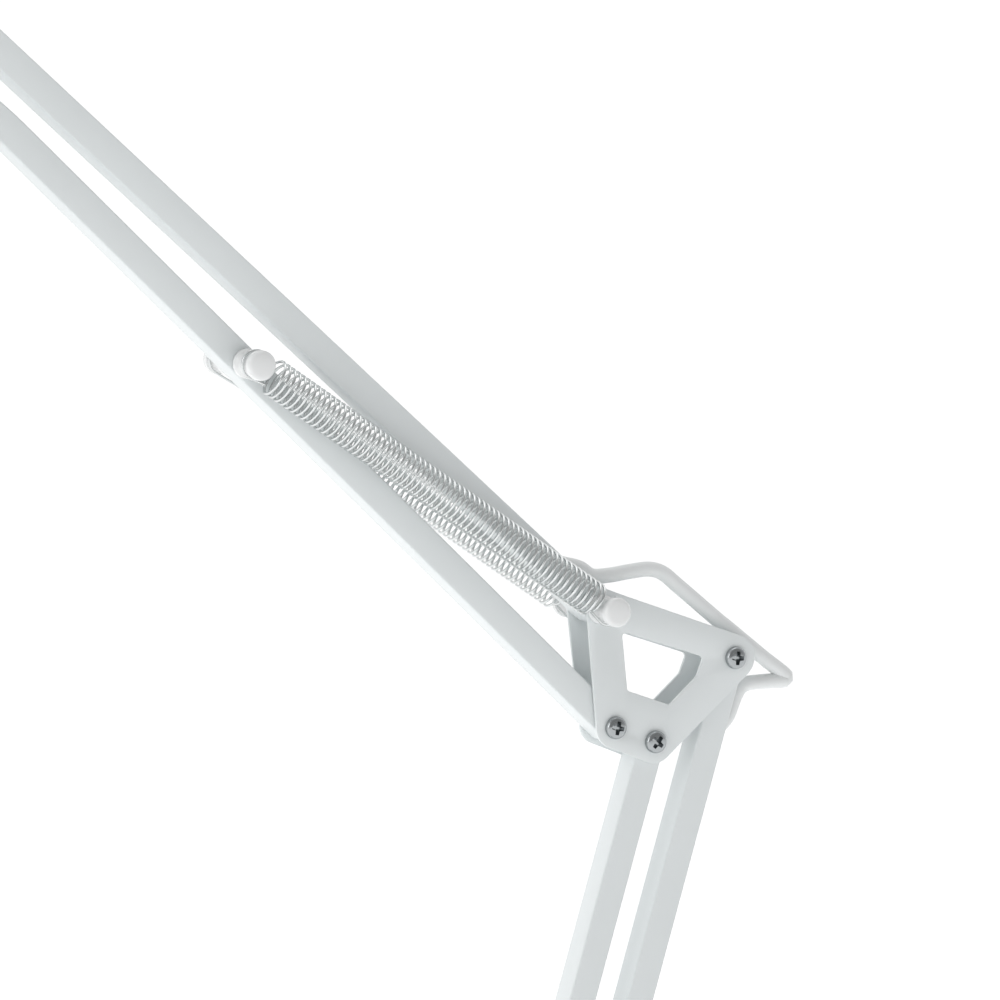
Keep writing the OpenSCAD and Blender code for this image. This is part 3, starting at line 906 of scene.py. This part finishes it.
@dataclass
class SquareTube:
    """Square arm tube with rounded ends and long slots for the lead.

    Args:
        name: Name of the piece.
        start: Its first pivot.
        angle: Its direction in degrees.
        length: Distance between its pivots.
        body: The moving group it belongs to.
        slots: (from, to) stretches cut in the side away from its left, in metres.
        lean: -1, 0 or 1 for the way it leans off the line of its pivots.
        half: Half of its width.
    """

    name: str
    start: Vector
    angle: float
    length: float
    body: Body
    slots: tuple[tuple[float, float], ...] = ()
    lean: int = 0
    half: float = 5 * MM

    def build(self, sizes: LampSizes) -> bpy.types.Object:
        """Makes the tube.

        Args:
            sizes: The lamp's sizes.

        Returns:
            The new object.
        """
        bm = bmesh.new()
        corner = 0.7 * MM
        h = self.half
        end = [-h * math.cos(math.radians(a)) for a in (4, 15, 30, 45, 60, 75)]
        stations = [*end, 0.0]
        for a, b in self.slots:
            stations += [a, b]
        if self.lean:
            stations += [self.length - d * MM for d in (106, 102, 98, 94, 90, 48, 44, 40, 36)]
        stations += [self.length, *[self.length - x for x in reversed(end)]]
        stations.sort()
        corner_pts = []
        for sx, sz, a0 in ((1, 1, 0), (-1, 1, 90), (-1, -1, 180), (1, -1, 270)):
            for t in range(5):
                w = math.radians(a0 + t * 22.5)
                corner_pts.append((sx * (h - corner) + corner * math.cos(w),
                                   sz * (h - corner) + corner * math.sin(w)))
            if (sx, sz) == (-1, -1):
                corner_pts += [(-SLOT_HALF, -h), (SLOT_HALF, -h)]
        rings = []
        for x in stations:
            over = -x if x < 0 else x - self.length if x > self.length else 0.0
            squeeze = math.sqrt(max(h * h - over * over, 1e-12)) / h
            off = self.lean * sizes.lean_at(x / MM) * MM
            rings.append([bm.verts.new((x, y, off + z * squeeze)) for y, z in corner_pts])
        loops = [[bm.edges.new((a, b)) for a, b in zip(g, g[1:] + g[:1])] for g in rings]
        for a, b in zip(loops, loops[1:]):
            bmesh.ops.bridge_loops(bm, edges=a + b)
        for g in (rings[0], rings[-1]):
            bmesh.ops.contextual_create(bm, geom=g)
        bmesh.ops.recalc_face_normals(bm, faces=bm.faces)
        for a, b in self.slots:
            hit = [f for f in bm.faces if a < f.calc_center_median().x < b
                   and abs(f.calc_center_median().y) < 1 * MM
                   and f.calc_center_median().z < 0 and abs(f.normal.z) > 0.9]
            made = bmesh.ops.extrude_face_region(bm, geom=hit)["geom"]
            moved = [g for g in made if isinstance(g, bmesh.types.BMVert)]
            bmesh.ops.translate(bm, vec=(0, 0, SLOT_DEPTH), verts=moved)
            bmesh.ops.delete(bm, geom=[f for f in hit if f.is_valid], context="FACES_ONLY")
        place = Matrix.Translation(self.start) @ Matrix.Rotation(math.radians(-self.angle), 4, "Y")
        bmesh.ops.transform(bm, matrix=place, verts=bm.verts)
        return finished(self.name, bm, PAINT, self.body, 40.0, (self.name,))


# ---------------------------------------------------------------- assemblies


@dataclass
class Bracket:
    """Pair of plates that holds the tubes' pivots, with its screws and nuts.

    Args:
        label: First word of its nodes' names.
        corners: Corner centres of the plates, anticlockwise.
        radii: Corner radii of the front plate.
        rear_radii: Corner radii of the rear plate.
        window: Corners of the cut-out.
        window_r: Its corner radius.
        holes: (centre, radius) of each hole.
        sizes: The lamp's sizes.
        body: The moving group it belongs to.
    """

    label: str
    corners: list[Vector]
    radii: list[float]
    rear_radii: list[float]
    window: list[Vector]
    window_r: float
    holes: list[tuple[Vector, float]]
    sizes: LampSizes
    body: Body

    def build(self) -> None:
        """Makes both plates."""
        s = self.sizes
        for side, radii in ((Side.FRONT, self.radii), (Side.REAR, self.rear_radii)):
            name = f"{self.label}_plate_{side.name.lower()}"
            bm = bmesh.new()
            y = (-s.plate_out, -s.plate_in) if side is Side.FRONT else (s.plate_in, s.plate_out)
            cuts = [circle_outline(c, r, 24) for c, r in self.holes]
            cuts.append(round_outline(self.window, [self.window_r] * len(self.window), 6))
            plate_into(bm, round_outline(self.corners, radii, 14), cuts, *y, 0.22 * MM)
            finished(name, bm, PAINT, self.body, 30.0, (name,))


@dataclass
class Elbow:
    """Elbow of the lamp: plates, screws and spring post.

    Args:
        sizes: The lamp's sizes.
    """

    sizes: LampSizes

    def build(self) -> None:
        """Makes the elbow's shown pieces."""
        s = self.sizes
        holes = [(p, PIVOT_HOLE) for p in (s.pb, s.pc, s.pd, s.pa)]
        window = [s.pb + flat(*p) for p in ((6, 13.2), (20.5, 8.1), (29.8, 16.2), (31.8, 21.1),
                                            (4.2, 30.3))]
        Bracket("elbow", [s.pb, s.pc, s.pd, s.pa + flat(0.4, 1.4)],
                [6.9 * MM, 7.3 * MM, 7.7 * MM, 5.5 * MM],
                [6.9 * MM, 7.3 * MM, 7.7 * MM, 6.6 * MM],
                window, 1.4 * MM, holes, s, Body.ELBOW).build()
        # These screws take the darker zinc with painted shade; the same screws at the base and head
        # take plain zinc.
        screw_set(s, [PanScrew(s.pb, 12.0), PanScrew(s.pc, 40.0), PanScrew(s.pd, 5.0)],
                  Body.ELBOW, "elbow_screws", "elbow_nuts", SCREW)
        spring_post("elbow_spools", s.pa, s.plate_out + 0.1 * MM, s.post_half + 1.4 * MM,
                    Body.ELBOW)


@dataclass
class Arms:
    """The two upper and two lower tubes, their posts and springs.

    Args:
        sizes: The lamp's sizes.
    """

    sizes: LampSizes

    def build(self) -> None:
        """Makes the tubes, posts and springs."""
        s = self.sizes
        SquareTube("upper_top_tube", s.pa, s.upper_angle, s.upper_len, Body.UPPER_ARM,
                   ((8.4 * MM, 30 * MM), (366 * MM, 385 * MM)), 1).build(s)
        SquareTube("upper_bottom_tube", s.pb, s.upper_angle, s.upper_len, Body.UPPER_LINK,
                   lean=-1).build(s)
        SquareTube("lower_right_tube", s.db, s.lower_angle, s.lower_len, Body.LOWER_ARM,
                   ((18 * MM, 38 * MM), (349 * MM, 365 * MM))).build(s)
        SquareTube("lower_left_tube", s.cb, s.lower_angle, s.lower_len,
                   Body.LOWER_LINK).build(s)
        for name, centre, body in (("upper_spools", s.ps, Body.UPPER_LINK),
                                   ("lower_spools", s.pl, Body.LOWER_LINK)):
            spring_post(name, centre, s.half_tube + 0.2 * MM, s.post_half, body)
        for name, a, b, fixed, moving, hook in (
                ("upper_springs", s.pa, s.ps, Body.ELBOW, Body.UPPER_LINK, 19.5),
                ("lower_springs", s.db, s.pl, Body.BRACKET, Body.LOWER_LINK, 6.2)):
            bm = bmesh.new()
            ArmSpring(a, b, s.spring_y, rear_hook=hook * MM).into(bm)
            obj = finished(name, bm, SPRING_WIRE, None, 60.0, (name,))
            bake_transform(obj)


@dataclass
class Lead:
    """The mains lead: runs inside the tubes, open loops at the joints, and the free end.

    Args:
        sizes: The lamp's sizes.
    """

    sizes: LampSizes

    def elbow_loop(self) -> None:
        """Makes the loop past the elbow, bent between the two arms."""
        s = self.sizes
        mid, way = s.pb + flat(44.6, 31.9), flat(0.81, -0.586)
        upper = [s.top(26, -1.4), s.top(25, -1.4), s.top(18.6, -4), s.top(12.4, -7.1)]
        upper += [s.pb + flat(*p) for p in ((-5.6, 50.6), (1, 50.5), (9, 51.4), (16.4, 51.8),
                                            (21.2, 50.4), (27.2, 45.8), (36.4, 38.4))]
        upper += [mid - way, mid]
        lower = [mid, mid + way]
        lower += [s.pb + flat(*p) for p in ((52.9, 25.5), (58.4, 21.2), (63.2, 17.6), (67.2, 14.7),
                                            (69.2, 12.9), (68.9, 11.7), (66.5, 11.6), (62, 11.6),
                                            (57, 11.5), (53.6, 11.2), (51.2, 9.9), (49.6, 7.6))]
        lower += [s.on(s.pd, s.ul, t, w) for t, w in (
            (-16, -7.2), (-19.5, -6.7), (-22.5, -5.3), (-25.5, -3.2), (-28.5, -1.4),
            (-32, -0.3), (-36, 0), (-38, 0))]
        self._bent("cord_elbow_upper", upper)
        self._bent("cord_elbow_lower", lower)

    def head_loop(self) -> None:
        """Makes the loop from the upper arm over the head bracket into the shade."""
        s = self.sizes
        mid = s.hh + flat(13.5, 12)
        upper = [s.on(s.ha, s.uu, -34, 0), s.on(s.ha, s.uu, -33, 0), s.on(s.ha, s.uu, -27, -3.2),
                 s.on(s.ha, s.uu, -20, -8.6)]
        upper += [s.hh + flat(*p) for p in ((55, 34), (49.5, 41.5), (41, 45), (31, 43.4),
                                            (22.6, 37), (17, 28), (14.4, 20), (13.5, 13.5))]
        upper.append(mid)
        lower = [mid] + [s.hh + flat(*p) for p in ((13.5, 10.5), (12.4, 0), (12, -14),
                                                   (12, -29), (12, -36))]
        self._bent("cord_head_upper", upper)
        self._bent("cord_head_lower", lower)

    def base_loop(self) -> None:
        """Makes the loop from the lower arm into the swivel post."""
        s = self.sizes
        pts = [s.on(s.db, s.ul, t, w) for t, w in ((38, 0), (37, 0), (31, -3), (25, -8),
                                                   (16, -13.5))]
        pts += [flat(*p) for p in ((33.5, 84), (31.5, 74), (26, 66), (18, 61), (10, 58.5),
                                   (4.2, 56.3), (1, 53.6), (0, 51.6), (0, 50.5))]
        self._bent("cord_loop_base", pts)

    def _bent(self, name: str, points: list[Vector]) -> None:
        """Makes one loop and leaves it on no body.

        Args:
            name: Name of the piece and of the frame node it stands for.
            points: Route of its centreline.
        """
        path = smooth_path(points, 1.1 * MM)
        obj = swept(name, path, self.sizes.cord_d / 2, LEAD_PVC, None, (name,))
        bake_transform(obj)

    def free_end(self) -> None:
        """Makes the free lead from the base to the plug, wound in a neat coil, with a tie."""
        s = self.sizes
        r = s.cord_d / 2
        y0 = s.base_r + 27 * MM
        cx, cy = 96 * MM, y0 + 44 * MM
        route = [(0, 0, 5.6), (0, 3, 5.6), (0, 9, 4.6), (1, 16, 2.7), (4, 27, 2.6), (11, 39, 2.6),
                 (22, 47, 2.6), (36, 49.5, 2.6), (50, 47, 2.6)]
        pts = [Vector((x * MM, y0 + y * MM, z * MM)) for x, y, z in route]
        pitch = s.cord_d
        rings = [34.2, 29.0, 23.8, 23.8, 29.0, 34.2, 29.0, 23.8]
        layer = [0, 0, 0, 1, 1, 1, 2, 2]
        start, shift = math.radians(185), math.radians(70)
        for k, (radius, level) in enumerate(zip(rings, layer)):
            for i in range(24):
                a = math.tau * i / 24
                rad, z = radius * MM, r + level * pitch
                if k and a < shift:
                    f = a / shift
                    f = f * f * (3 - 2 * f)
                    old, low = rings[k - 1] * MM, r + layer[k - 1] * pitch
                    side = 1 if radius > 30 else -1
                    swell = 2.6 * MM * math.sin(math.pi * f) * side if level != layer[k - 1] else 0
                    rad = old + (rad - old) * f + swell
                    z = low + (z - low) * f
                w = start + a
                pts.append(Vector((cx + rad * math.cos(w), cy + rad * math.sin(w), z)))
        top = 18.3
        for deg, rad, z in ((8, 24.6, 15.6), (24, 27.6, top), (42, 32.6, top), (58, 38, 15.4),
                            (72, 42, 8.0), (84, 46, 3.4)):
            w = start + math.radians(deg)
            pts.append(Vector((cx + rad * MM * math.cos(w), cy + rad * MM * math.sin(w), z * MM)))
        plug_entry = Vector((cx - 51 * MM, cy + 62 * MM, 7 * MM))
        pts += self._tail(pts[-1], Vector((cx, cy, 0)), plug_entry)
        path = [Vector((p.x, p.y, max(p.z, r))) for p in smooth_path(pts, 2.0 * MM)]
        obj = swept("free_lead", path, r, LEAD_PVC, Body.BASE, ("free_lead", "lead_coil"), 16)
        plug = self._plug(plug_entry)
        tie = self._tie(cx, cy)

    @staticmethod
    def _tail(last: Vector, centre: Vector, entry: Vector) -> list[Vector]:
        """Route from the coil round its outside to the plug.

        Args:
            last: Where the lead comes down beside the coil.
            centre: The coil's centre.
            entry: Back end of the plug's sleeve.

        Returns:
            Points up to the plug.
        """
        out = []
        a0 = math.atan2(last.y - centre.y, last.x - centre.x) % math.tau
        a1 = math.radians(90) + (math.tau if a0 > math.radians(90) else 0.0)
        steps = max(int((a1 - a0) / math.radians(18)), 1)
        for i in range(1, steps + 1):
            f = i / steps
            a = a0 + (a1 - a0) * f
            rad = (46 + 11 * f) * MM
            out.append(Vector((centre.x + rad * math.cos(a), centre.y + rad * math.sin(a),
                               2.6 * MM)))
        return out + [Vector((entry.x + 34 * MM, entry.y - 0.5 * MM, 3.6 * MM)),
                      Vector((entry.x + 20 * MM, entry.y, 6.0 * MM)),
                      entry + flat(10, 0), entry + flat(-2, 0)]

    def _plug(self, back: Vector) -> list[bpy.types.Object]:
        """Makes the two-pin plug with a ribbed sleeve.

        Args:
            back: Where the lead enters the sleeve.

        Returns:
            The plug's pieces.
        """
        bm = bmesh.new()
        back_way = Vector((-1, 0, 0))
        prof = [(0, 0), (3.4, 0), *ribs(6, 1.2, 2.3, 3.85, 0.36, 0.45, (1.3, 1.5, 2.1)),
                (6, 16), (0, 16)]
        lathe_into(bm, prof, back, back_way, 40)
        box_into(bm, back + back_way * 25 * MM, (20, 18, 14), 2.2, 4)
        box_into(bm, back + back_way * 17 * MM, (4, 26, 14), 1.2, 3)
        body = finished("plug_body", bm, CAP_PLASTIC, Body.BASE, 40.0, ("plug",))
        bm = bmesh.new()
        for side in Side:
            prof = [(0, 0), (2, 0), (2, 17.6), (1.7, 18.5), (1, 19), (0, 19)]
            lathe_into(bm, prof, back + Vector((-34.9 * MM, side.value * 6 * MM, 0)), back_way, 24)
        pins = finished("plug_pins", bm, BRASS, Body.BASE, 40.0, ("plug",))
        return [body, pins]

    def _tie(self, cx: float, cy: float) -> bpy.types.Object:
        """Makes the tie round the coil.

        Args:
            cx: Coil centre along X.
            cy: Coil centre along Y.

        Returns:
            The tie.
        """
        a = math.radians(330)
        out = Vector((math.cos(a), math.sin(a), 0))
        mid = Vector((cx, cy, 0)) + out * 29 * MM
        w, h = 8.4 * MM, 7.9 * MM
        squareness = 0.35
        path = []
        for t in map(math.radians, range(0, 360, 12)):
            cu = math.copysign(abs(math.cos(t)) ** squareness, math.cos(t))
            su = math.copysign(abs(math.sin(t)) ** squareness, math.sin(t))
            path.append(mid + out * w * cu + Vector((0, 0, h + 0.8 * MM + h * su)))
        bm = bmesh.new()
        path.append(path[0] + out * 0.2 * MM)
        sweep_into(bm, path, 0.75 * MM, 10, Vector((-out.y, out.x, 0)))
        tie = finished("lead_tie", bm, RUBBER, Body.BASE, 60.0)
        return tie


@dataclass
class BaseUnit:
    """Weighted base with its cover, socket and the swivelling bracket.

    Args:
        sizes: The lamp's sizes.
    """

    sizes: LampSizes

    def build(self) -> None:
        """Makes the base's shown pieces."""
        s = self.sizes
        r, h = s.base_r / MM, s.base_h / MM
        cover = [(10.4, h - 1.3), (r - 1.9, h - 1.3), (r - 1.9, 1), (r - 1.4, 0.9), (r, 1.2),
                 (r, h - 4.2), *arc(r - 3.4, h - 3.4, 3.4, range(10, 91, 10)), (40, h + 0.15),
                 (10.4, h)]
        turned("base_cover", cover, Vector(), PAINT, Body.BASE, 128)
        socket = [(8.25, 0.05), (23.6, 0.05), (24, 0.4), (24, 2.3), (23.3, 3), (13.6, 3),
                  (12.5, 3.4), (12, 4.6), (12, 17.3), (11.4, 18), (8.25, 18)]
        turned("base_socket", socket, UP * s.base_h, PAINT, Body.BASE, 64)
        gland = [(0, -4), (4.1, -4), (4.1, 0.2), (5.2, 0.2), (5.2, 1.8), (4.8, 2.2),
                 *ribs(8, 3.2, 3.0, 4.5, -0.15, 0.35, (1.7, 1.9, 2.7)), (3.25, 27.4), (0, 27.4)]
        turned("lead_gland", gland, Vector((0, s.base_r, 5.6 * MM)), CAP_PLASTIC, Body.BASE, 40,
               REARWARD)
        self._bracket()

    def _bracket(self) -> None:
        """Makes the bracket plates, screws, nuts and spring post over the swivel."""
        s = self.sizes
        h = s.base_h / MM
        block = [flat(x, h + 27.5) for x in (-7.5, 7.5)]
        holes = [(p, PIVOT_HOLE) for p in (s.cb, s.db, *block)]
        window = [flat(*p) for p in ((-5, 60), (7, 60), (9.5, 72), (5, 71))]
        radii = [2 * MM, 2 * MM, 7 * MM, 7 * MM]
        Bracket("base", [flat(-12, h + 24), flat(12, h + 24), s.db, s.cb], radii, radii, window,
                1.5 * MM, holes, s, Body.BRACKET).build()
        screw_set(s, [PanScrew(block[0], 15.0), PanScrew(block[1], 65.0)], Body.BRACKET,
                  "block_screws", over=4.2 * MM)
        screw_set(s, [PanScrew(s.cb, 15.0)], Body.BRACKET, "base_pivot_screw",
                  "base_pivot_nut", over=4.2 * MM)
        spring_post("base_spools", s.db, s.plate_out + 0.1 * MM, s.post_half, Body.BRACKET)


@dataclass
class HeadUnit:
    """Head bracket, tilt knob, shade, lampholder, bulb and switch.

    Args:
        sizes: The lamp's sizes.
    """

    sizes: LampSizes

    def build(self) -> None:
        """Makes the head's shown pieces."""
        s = self.sizes
        holes = [(s.hb, PIVOT_HOLE), (s.ha, PIVOT_HOLE), (s.hh, 2.55 * MM)]
        window = [s.hb + flat(*p) for p in ((-9, 9), (-11.5, 27), (-28, 14))]
        radii = [6.6 * MM, 5.6 * MM, 8 * MM]
        Bracket("head", [s.hb, s.ha, s.hh], radii, radii, window, 1.6 * MM, holes, s,
                Body.HEAD).build()
        screw_set(s, [PanScrew(s.ha, 25.0), PanScrew(s.hb, 60.0)], Body.HEAD, "head_screws",
                  "head_nuts")
        self._knob()
        self._shade()
        self._lamp()

    def _knob(self) -> None:
        """Makes the lobed tilt knob."""
        s = self.sizes
        bm = bmesh.new()
        lobes = []
        for i in range(96):
            a = math.tau * i / 96
            r = (10.9 + 1.0 * math.cos(6 * a)) * MM
            lobes.append(s.hh + Vector((r * math.cos(a), 0, r * math.sin(a))))
        plate_into(bm, lobes, [], -s.plate_out - 12 * MM, -s.plate_out - 3 * MM, 0.8 * MM)
        prof = [(2.6, 0.4), (5.6, 0.4), (6, 0.8), (6.6, 3.05), (2.6, 3.05)]
        lathe_into(bm, prof, s.hh + Vector((0, -s.plate_out, 0)), Vector((0, -1, 0)), 48)
        finished("tilt_knob", bm, CAP_PLASTIC, Body.KNOB, 35.0, ("tilt_knob",))

    def _shade(self) -> None:
        """Makes the spun shade with a rolled rim, painted inside and out."""
        r, rim = self.sizes.shade_r / MM, -self.sizes.shade_h / MM
        sheet = 1.035
        cone = [(30.3 + (r - 31.2) * i / 8, -50.4 + (rim + 53) * i / 8) for i in range(1, 8)]
        outer = [(4.6, 0), (20.5, 0), *arc(20.5, -6.5, 6.5, range(80, -1, -10)), (27, -41),
                 (27.25, -44), (28.3, -47.2), (30.3, -50.4), *cone]
        bead = 1.15
        roll = arc(r - bead, rim + bead, bead, range(60, -181, -20))
        inner = [(a - sheet, z) for a, z in reversed(cone)]
        inner += [(29.3, -50.2), (27.3, -47), (26.3, -44), (26.1, -41),
                  *arc(20.5, -6.5, 5.6, range(0, 81, 10)), (4.6, -0.9)]
        turned("shade", [*outer, *roll, *inner], self._on_axis(0, 0), PAINT, Body.SHADE, 128,
               sharp=50.0)

    def _on_axis(self, x: float, z: float) -> Vector:
        """Point near the middle of the shade's top.

        Args:
            x: Millimetres from its axis.
            z: Millimetres above its top.

        Returns:
            The point in metres.
        """
        s = self.sizes
        return Vector((s.hh.x, 0, s.shade_top)) + flat(x, z)

    def _lamp(self) -> None:
        """Makes the lampholder, bulb and switch knob."""
        holder = [(15, -49), (18.4, -49), (19, -48.4), (19, -40), (18.4, -39.4), (18.4, -37.6),
                  (19, -37), (19, -2), (18, -1), (4.6, -1), (4.6, -5.4), (15, -5.4)]
        turned("lampholder", holder, self._on_axis(0, 0), CAP_PLASTIC, Body.SHADE, 64, sharp=35.0)
        glass = [(0, -53.5), *arc(0, -31, 22.5, range(-84, 40, 6)), (15.2, -11.5), (13.6, -6),
                 (13.1, 0), (0, 0.6)]
        turned("bulb_glass", glass, self._on_axis(0, -48), OPAL, Body.SHADE, 64, sharp=60.0)
        bm = bmesh.new()
        prof = [(0, 0.4), (3, 0.4), (3, 0.45), (5.4, 0.4), (6, 0.9)]
        prof += [(6 - 0.15 * (i % 2), 1.5 + i * 0.55) for i in range(10)]
        prof += [(5.6, 7.4), (4.6, 7.8), (0, 7.8)]
        lathe_into(bm, prof, self._on_axis(-13, 0), UP, 48)
        box_into(bm, self._on_axis(-13, 7.4), (2, 12.6, 3), 0.7, 3)
        finished("switch_knob", bm, CAP_PLASTIC, Body.SWITCH, 35.0, ("switch_knob",))


# ---------------------------------------------------------------- studio


@dataclass
class Studio:
    """Pale floor, soft lights and the camera.

    Args:
        sizes: The lamp's sizes.
        azimuth: Camera's angle round the lamp, in degrees.
        elevation: Its angle above the horizon.
        distance: Its distance from the elbow, in metres.
        focal: Focal length over the frame's width.
        aim: Where the elbow's first pivot falls, as shares of the frame from its middle.
        front_dim: Brightness of the sky behind the camera.
    """

    sizes: LampSizes
    azimuth: float = -27.316
    elevation: float = 5.177
    distance: float = 2.2613
    focal: float = 6.7644
    aim: tuple[float, float] = (0.105866, -0.225548)
    front_dim: float = 0.35

    def camera(self) -> None:
        """Places the camera and makes it the scene's."""
        a, e = math.radians(self.azimuth), math.radians(self.elevation)
        back = Vector((math.sin(a) * math.cos(e), -math.cos(a) * math.cos(e), math.sin(e)))
        right = UP.cross(back).normalized()
        up = back.cross(right)
        k = self.distance / self.focal
        place = (self.sizes.pb + back * self.distance - right * self.aim[0] * k
                 - up * self.aim[1] * k)
        cam = bpy.data.cameras.new("camera")
        cam.sensor_width = 36.0
        cam.lens = 36.0 * self.focal
        cam.clip_end = 50.0
        obj = bpy.data.objects.new("camera", cam)
        rot = Matrix((right, up, back)).transposed().to_4x4()
        obj.matrix_world = Matrix.Translation(place) @ rot
        bpy.context.scene.collection.objects.link(obj)
        bpy.context.scene.camera = obj

    def floor(self) -> None:
        """Makes the pale floor."""
        mat = bpy.data.materials.new("pale_floor")
        mat.use_nodes = True
        tree = mat.node_tree
        bsdf = tree.nodes["Principled BSDF"]
        for socket, value in (("Roughness", 0.9), ("Specular IOR Level", 0.1),
                              ("Emission Color", (1, 1, 1, 1)), ("Emission Strength", 0.35)):
            bsdf.inputs[socket].default_value = value
        coord = node(tree, "TexCoord")
        noise = node(tree, "TexNoise", {"Scale": 4.0})
        ramp = node(tree, "ValToRGB")
        ramp.color_ramp.elements[0].color = (0.93, 0.935, 0.94, 1)
        ramp.color_ramp.elements[1].color = (0.96, 0.96, 0.96, 1)
        wire(tree, (coord, "Object", noise, "Vector"), (noise, "Fac", ramp, "Fac"),
             (ramp, "Color", bsdf, "Base Color"))
        bm = bmesh.new()
        bmesh.ops.create_grid(bm, x_segments=8, y_segments=8, size=60.0)
        mesh = bpy.data.meshes.new("floor")
        bm.to_mesh(mesh)
        bm.free()
        mesh.materials.append(mat)
        obj = bpy.data.objects.new("floor", mesh)
        obj.location.z = -0.0002
        bpy.context.scene.collection.objects.link(obj)

    def light(self) -> None:
        """Sets the sky and the soft lights."""
        world = bpy.data.worlds.new("studio")
        world.use_nodes = True
        tree = world.node_tree
        sky = tree.nodes["Background"]
        sky.inputs["Color"].default_value = (1.0, 1.0, 1.0, 1.0)
        coord = node(tree, "TexCoord")
        dot = node(tree, "VectorMath")
        dot.operation = "DOT_PRODUCT"
        dot.inputs[1].default_value = Vector((0.1, -0.95, 0.35)).normalized()
        dim = node(tree, "MapRange", {"From Min": 0.0, "From Max": 0.85, "To Min": 1.02,
                                      "To Max": self.front_dim})
        dim.interpolation_type = "SMOOTHSTEP"
        wire(tree, (coord, "Generated", dot, 0), (dot, "Value", dim, "Value"),
             (dim, "Result", sky, "Strength"))
        bpy.context.scene.world = world
        bpy.context.scene.view_settings.view_transform = "Standard"
        elbow = self.sizes.pb
        for name, where, size, watts in (("left_window", (-2.4, -0.7, 0.9), 1.8, 12.0),
                                         ("top_panel", (0.2, 0.3, 2.2), 1.6, 5.0)):
            lamp = bpy.data.lights.new(name, "AREA")
            lamp.shape = "DISK"
            lamp.size = size
            lamp.energy = watts
            obj = bpy.data.objects.new(name, lamp)
            obj.location = elbow + Vector(where)
            obj.rotation_euler = (-Vector(where)).to_track_quat("-Z", "Y").to_euler()
            bpy.context.scene.collection.objects.link(obj)

    def build(self) -> None:
        """Sets up the whole studio."""
        self.camera()
        self.floor()
        self.light()


KEPT_NODES = {
    "base_pad": RUBBER, "base_weight": CAST, "socket_screws": ZINC, "swivel_bush": CAP_PLASTIC,
    "cord_base": LEAD_PVC, "swivel_post": ZINC, "base_bushes": CAP_PLASTIC,
    "base_spring_pin": ZINC, "cord_post": LEAD_PVC, "cord_lower": LEAD_PVC,
    "lower_spring_pin": ZINC, "elbow_bushes": CAP_PLASTIC, "elbow_spring_pin": ZINC,
    "cord_upper": LEAD_PVC, "upper_spring_pin": ZINC, "head_bushes": CAP_PLASTIC,
    "tilt_bolt": ZINC, "shade_stem": ZINC, "stem_nut": ZINC, "lampholder_shell": BRASS,
    "bulb_cap": ZINC,
}


def main() -> None:
    """Builds the lamp in order and reports each stage."""
    logging.basicConfig(level=logging.INFO, format="%(name)s: %(message)s")
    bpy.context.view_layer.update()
    sizes = LampSizes()
    Studio(sizes).build()
    log.info("camera, floor and light are set")
    lead = Lead(sizes)
    lead.free_end()
    lead.elbow_loop()
    lead.head_loop()
    lead.base_loop()
    log.info("the lead is laid")
    Elbow(sizes).build()
    Arms(sizes).build()
    log.info("elbow and arms are made")
    BaseUnit(sizes).build()
    HeadUnit(sizes).build()
    node_finish(KEPT_NODES)
    log.info("base and head are made")


if __name__ == "__main__":
    main()
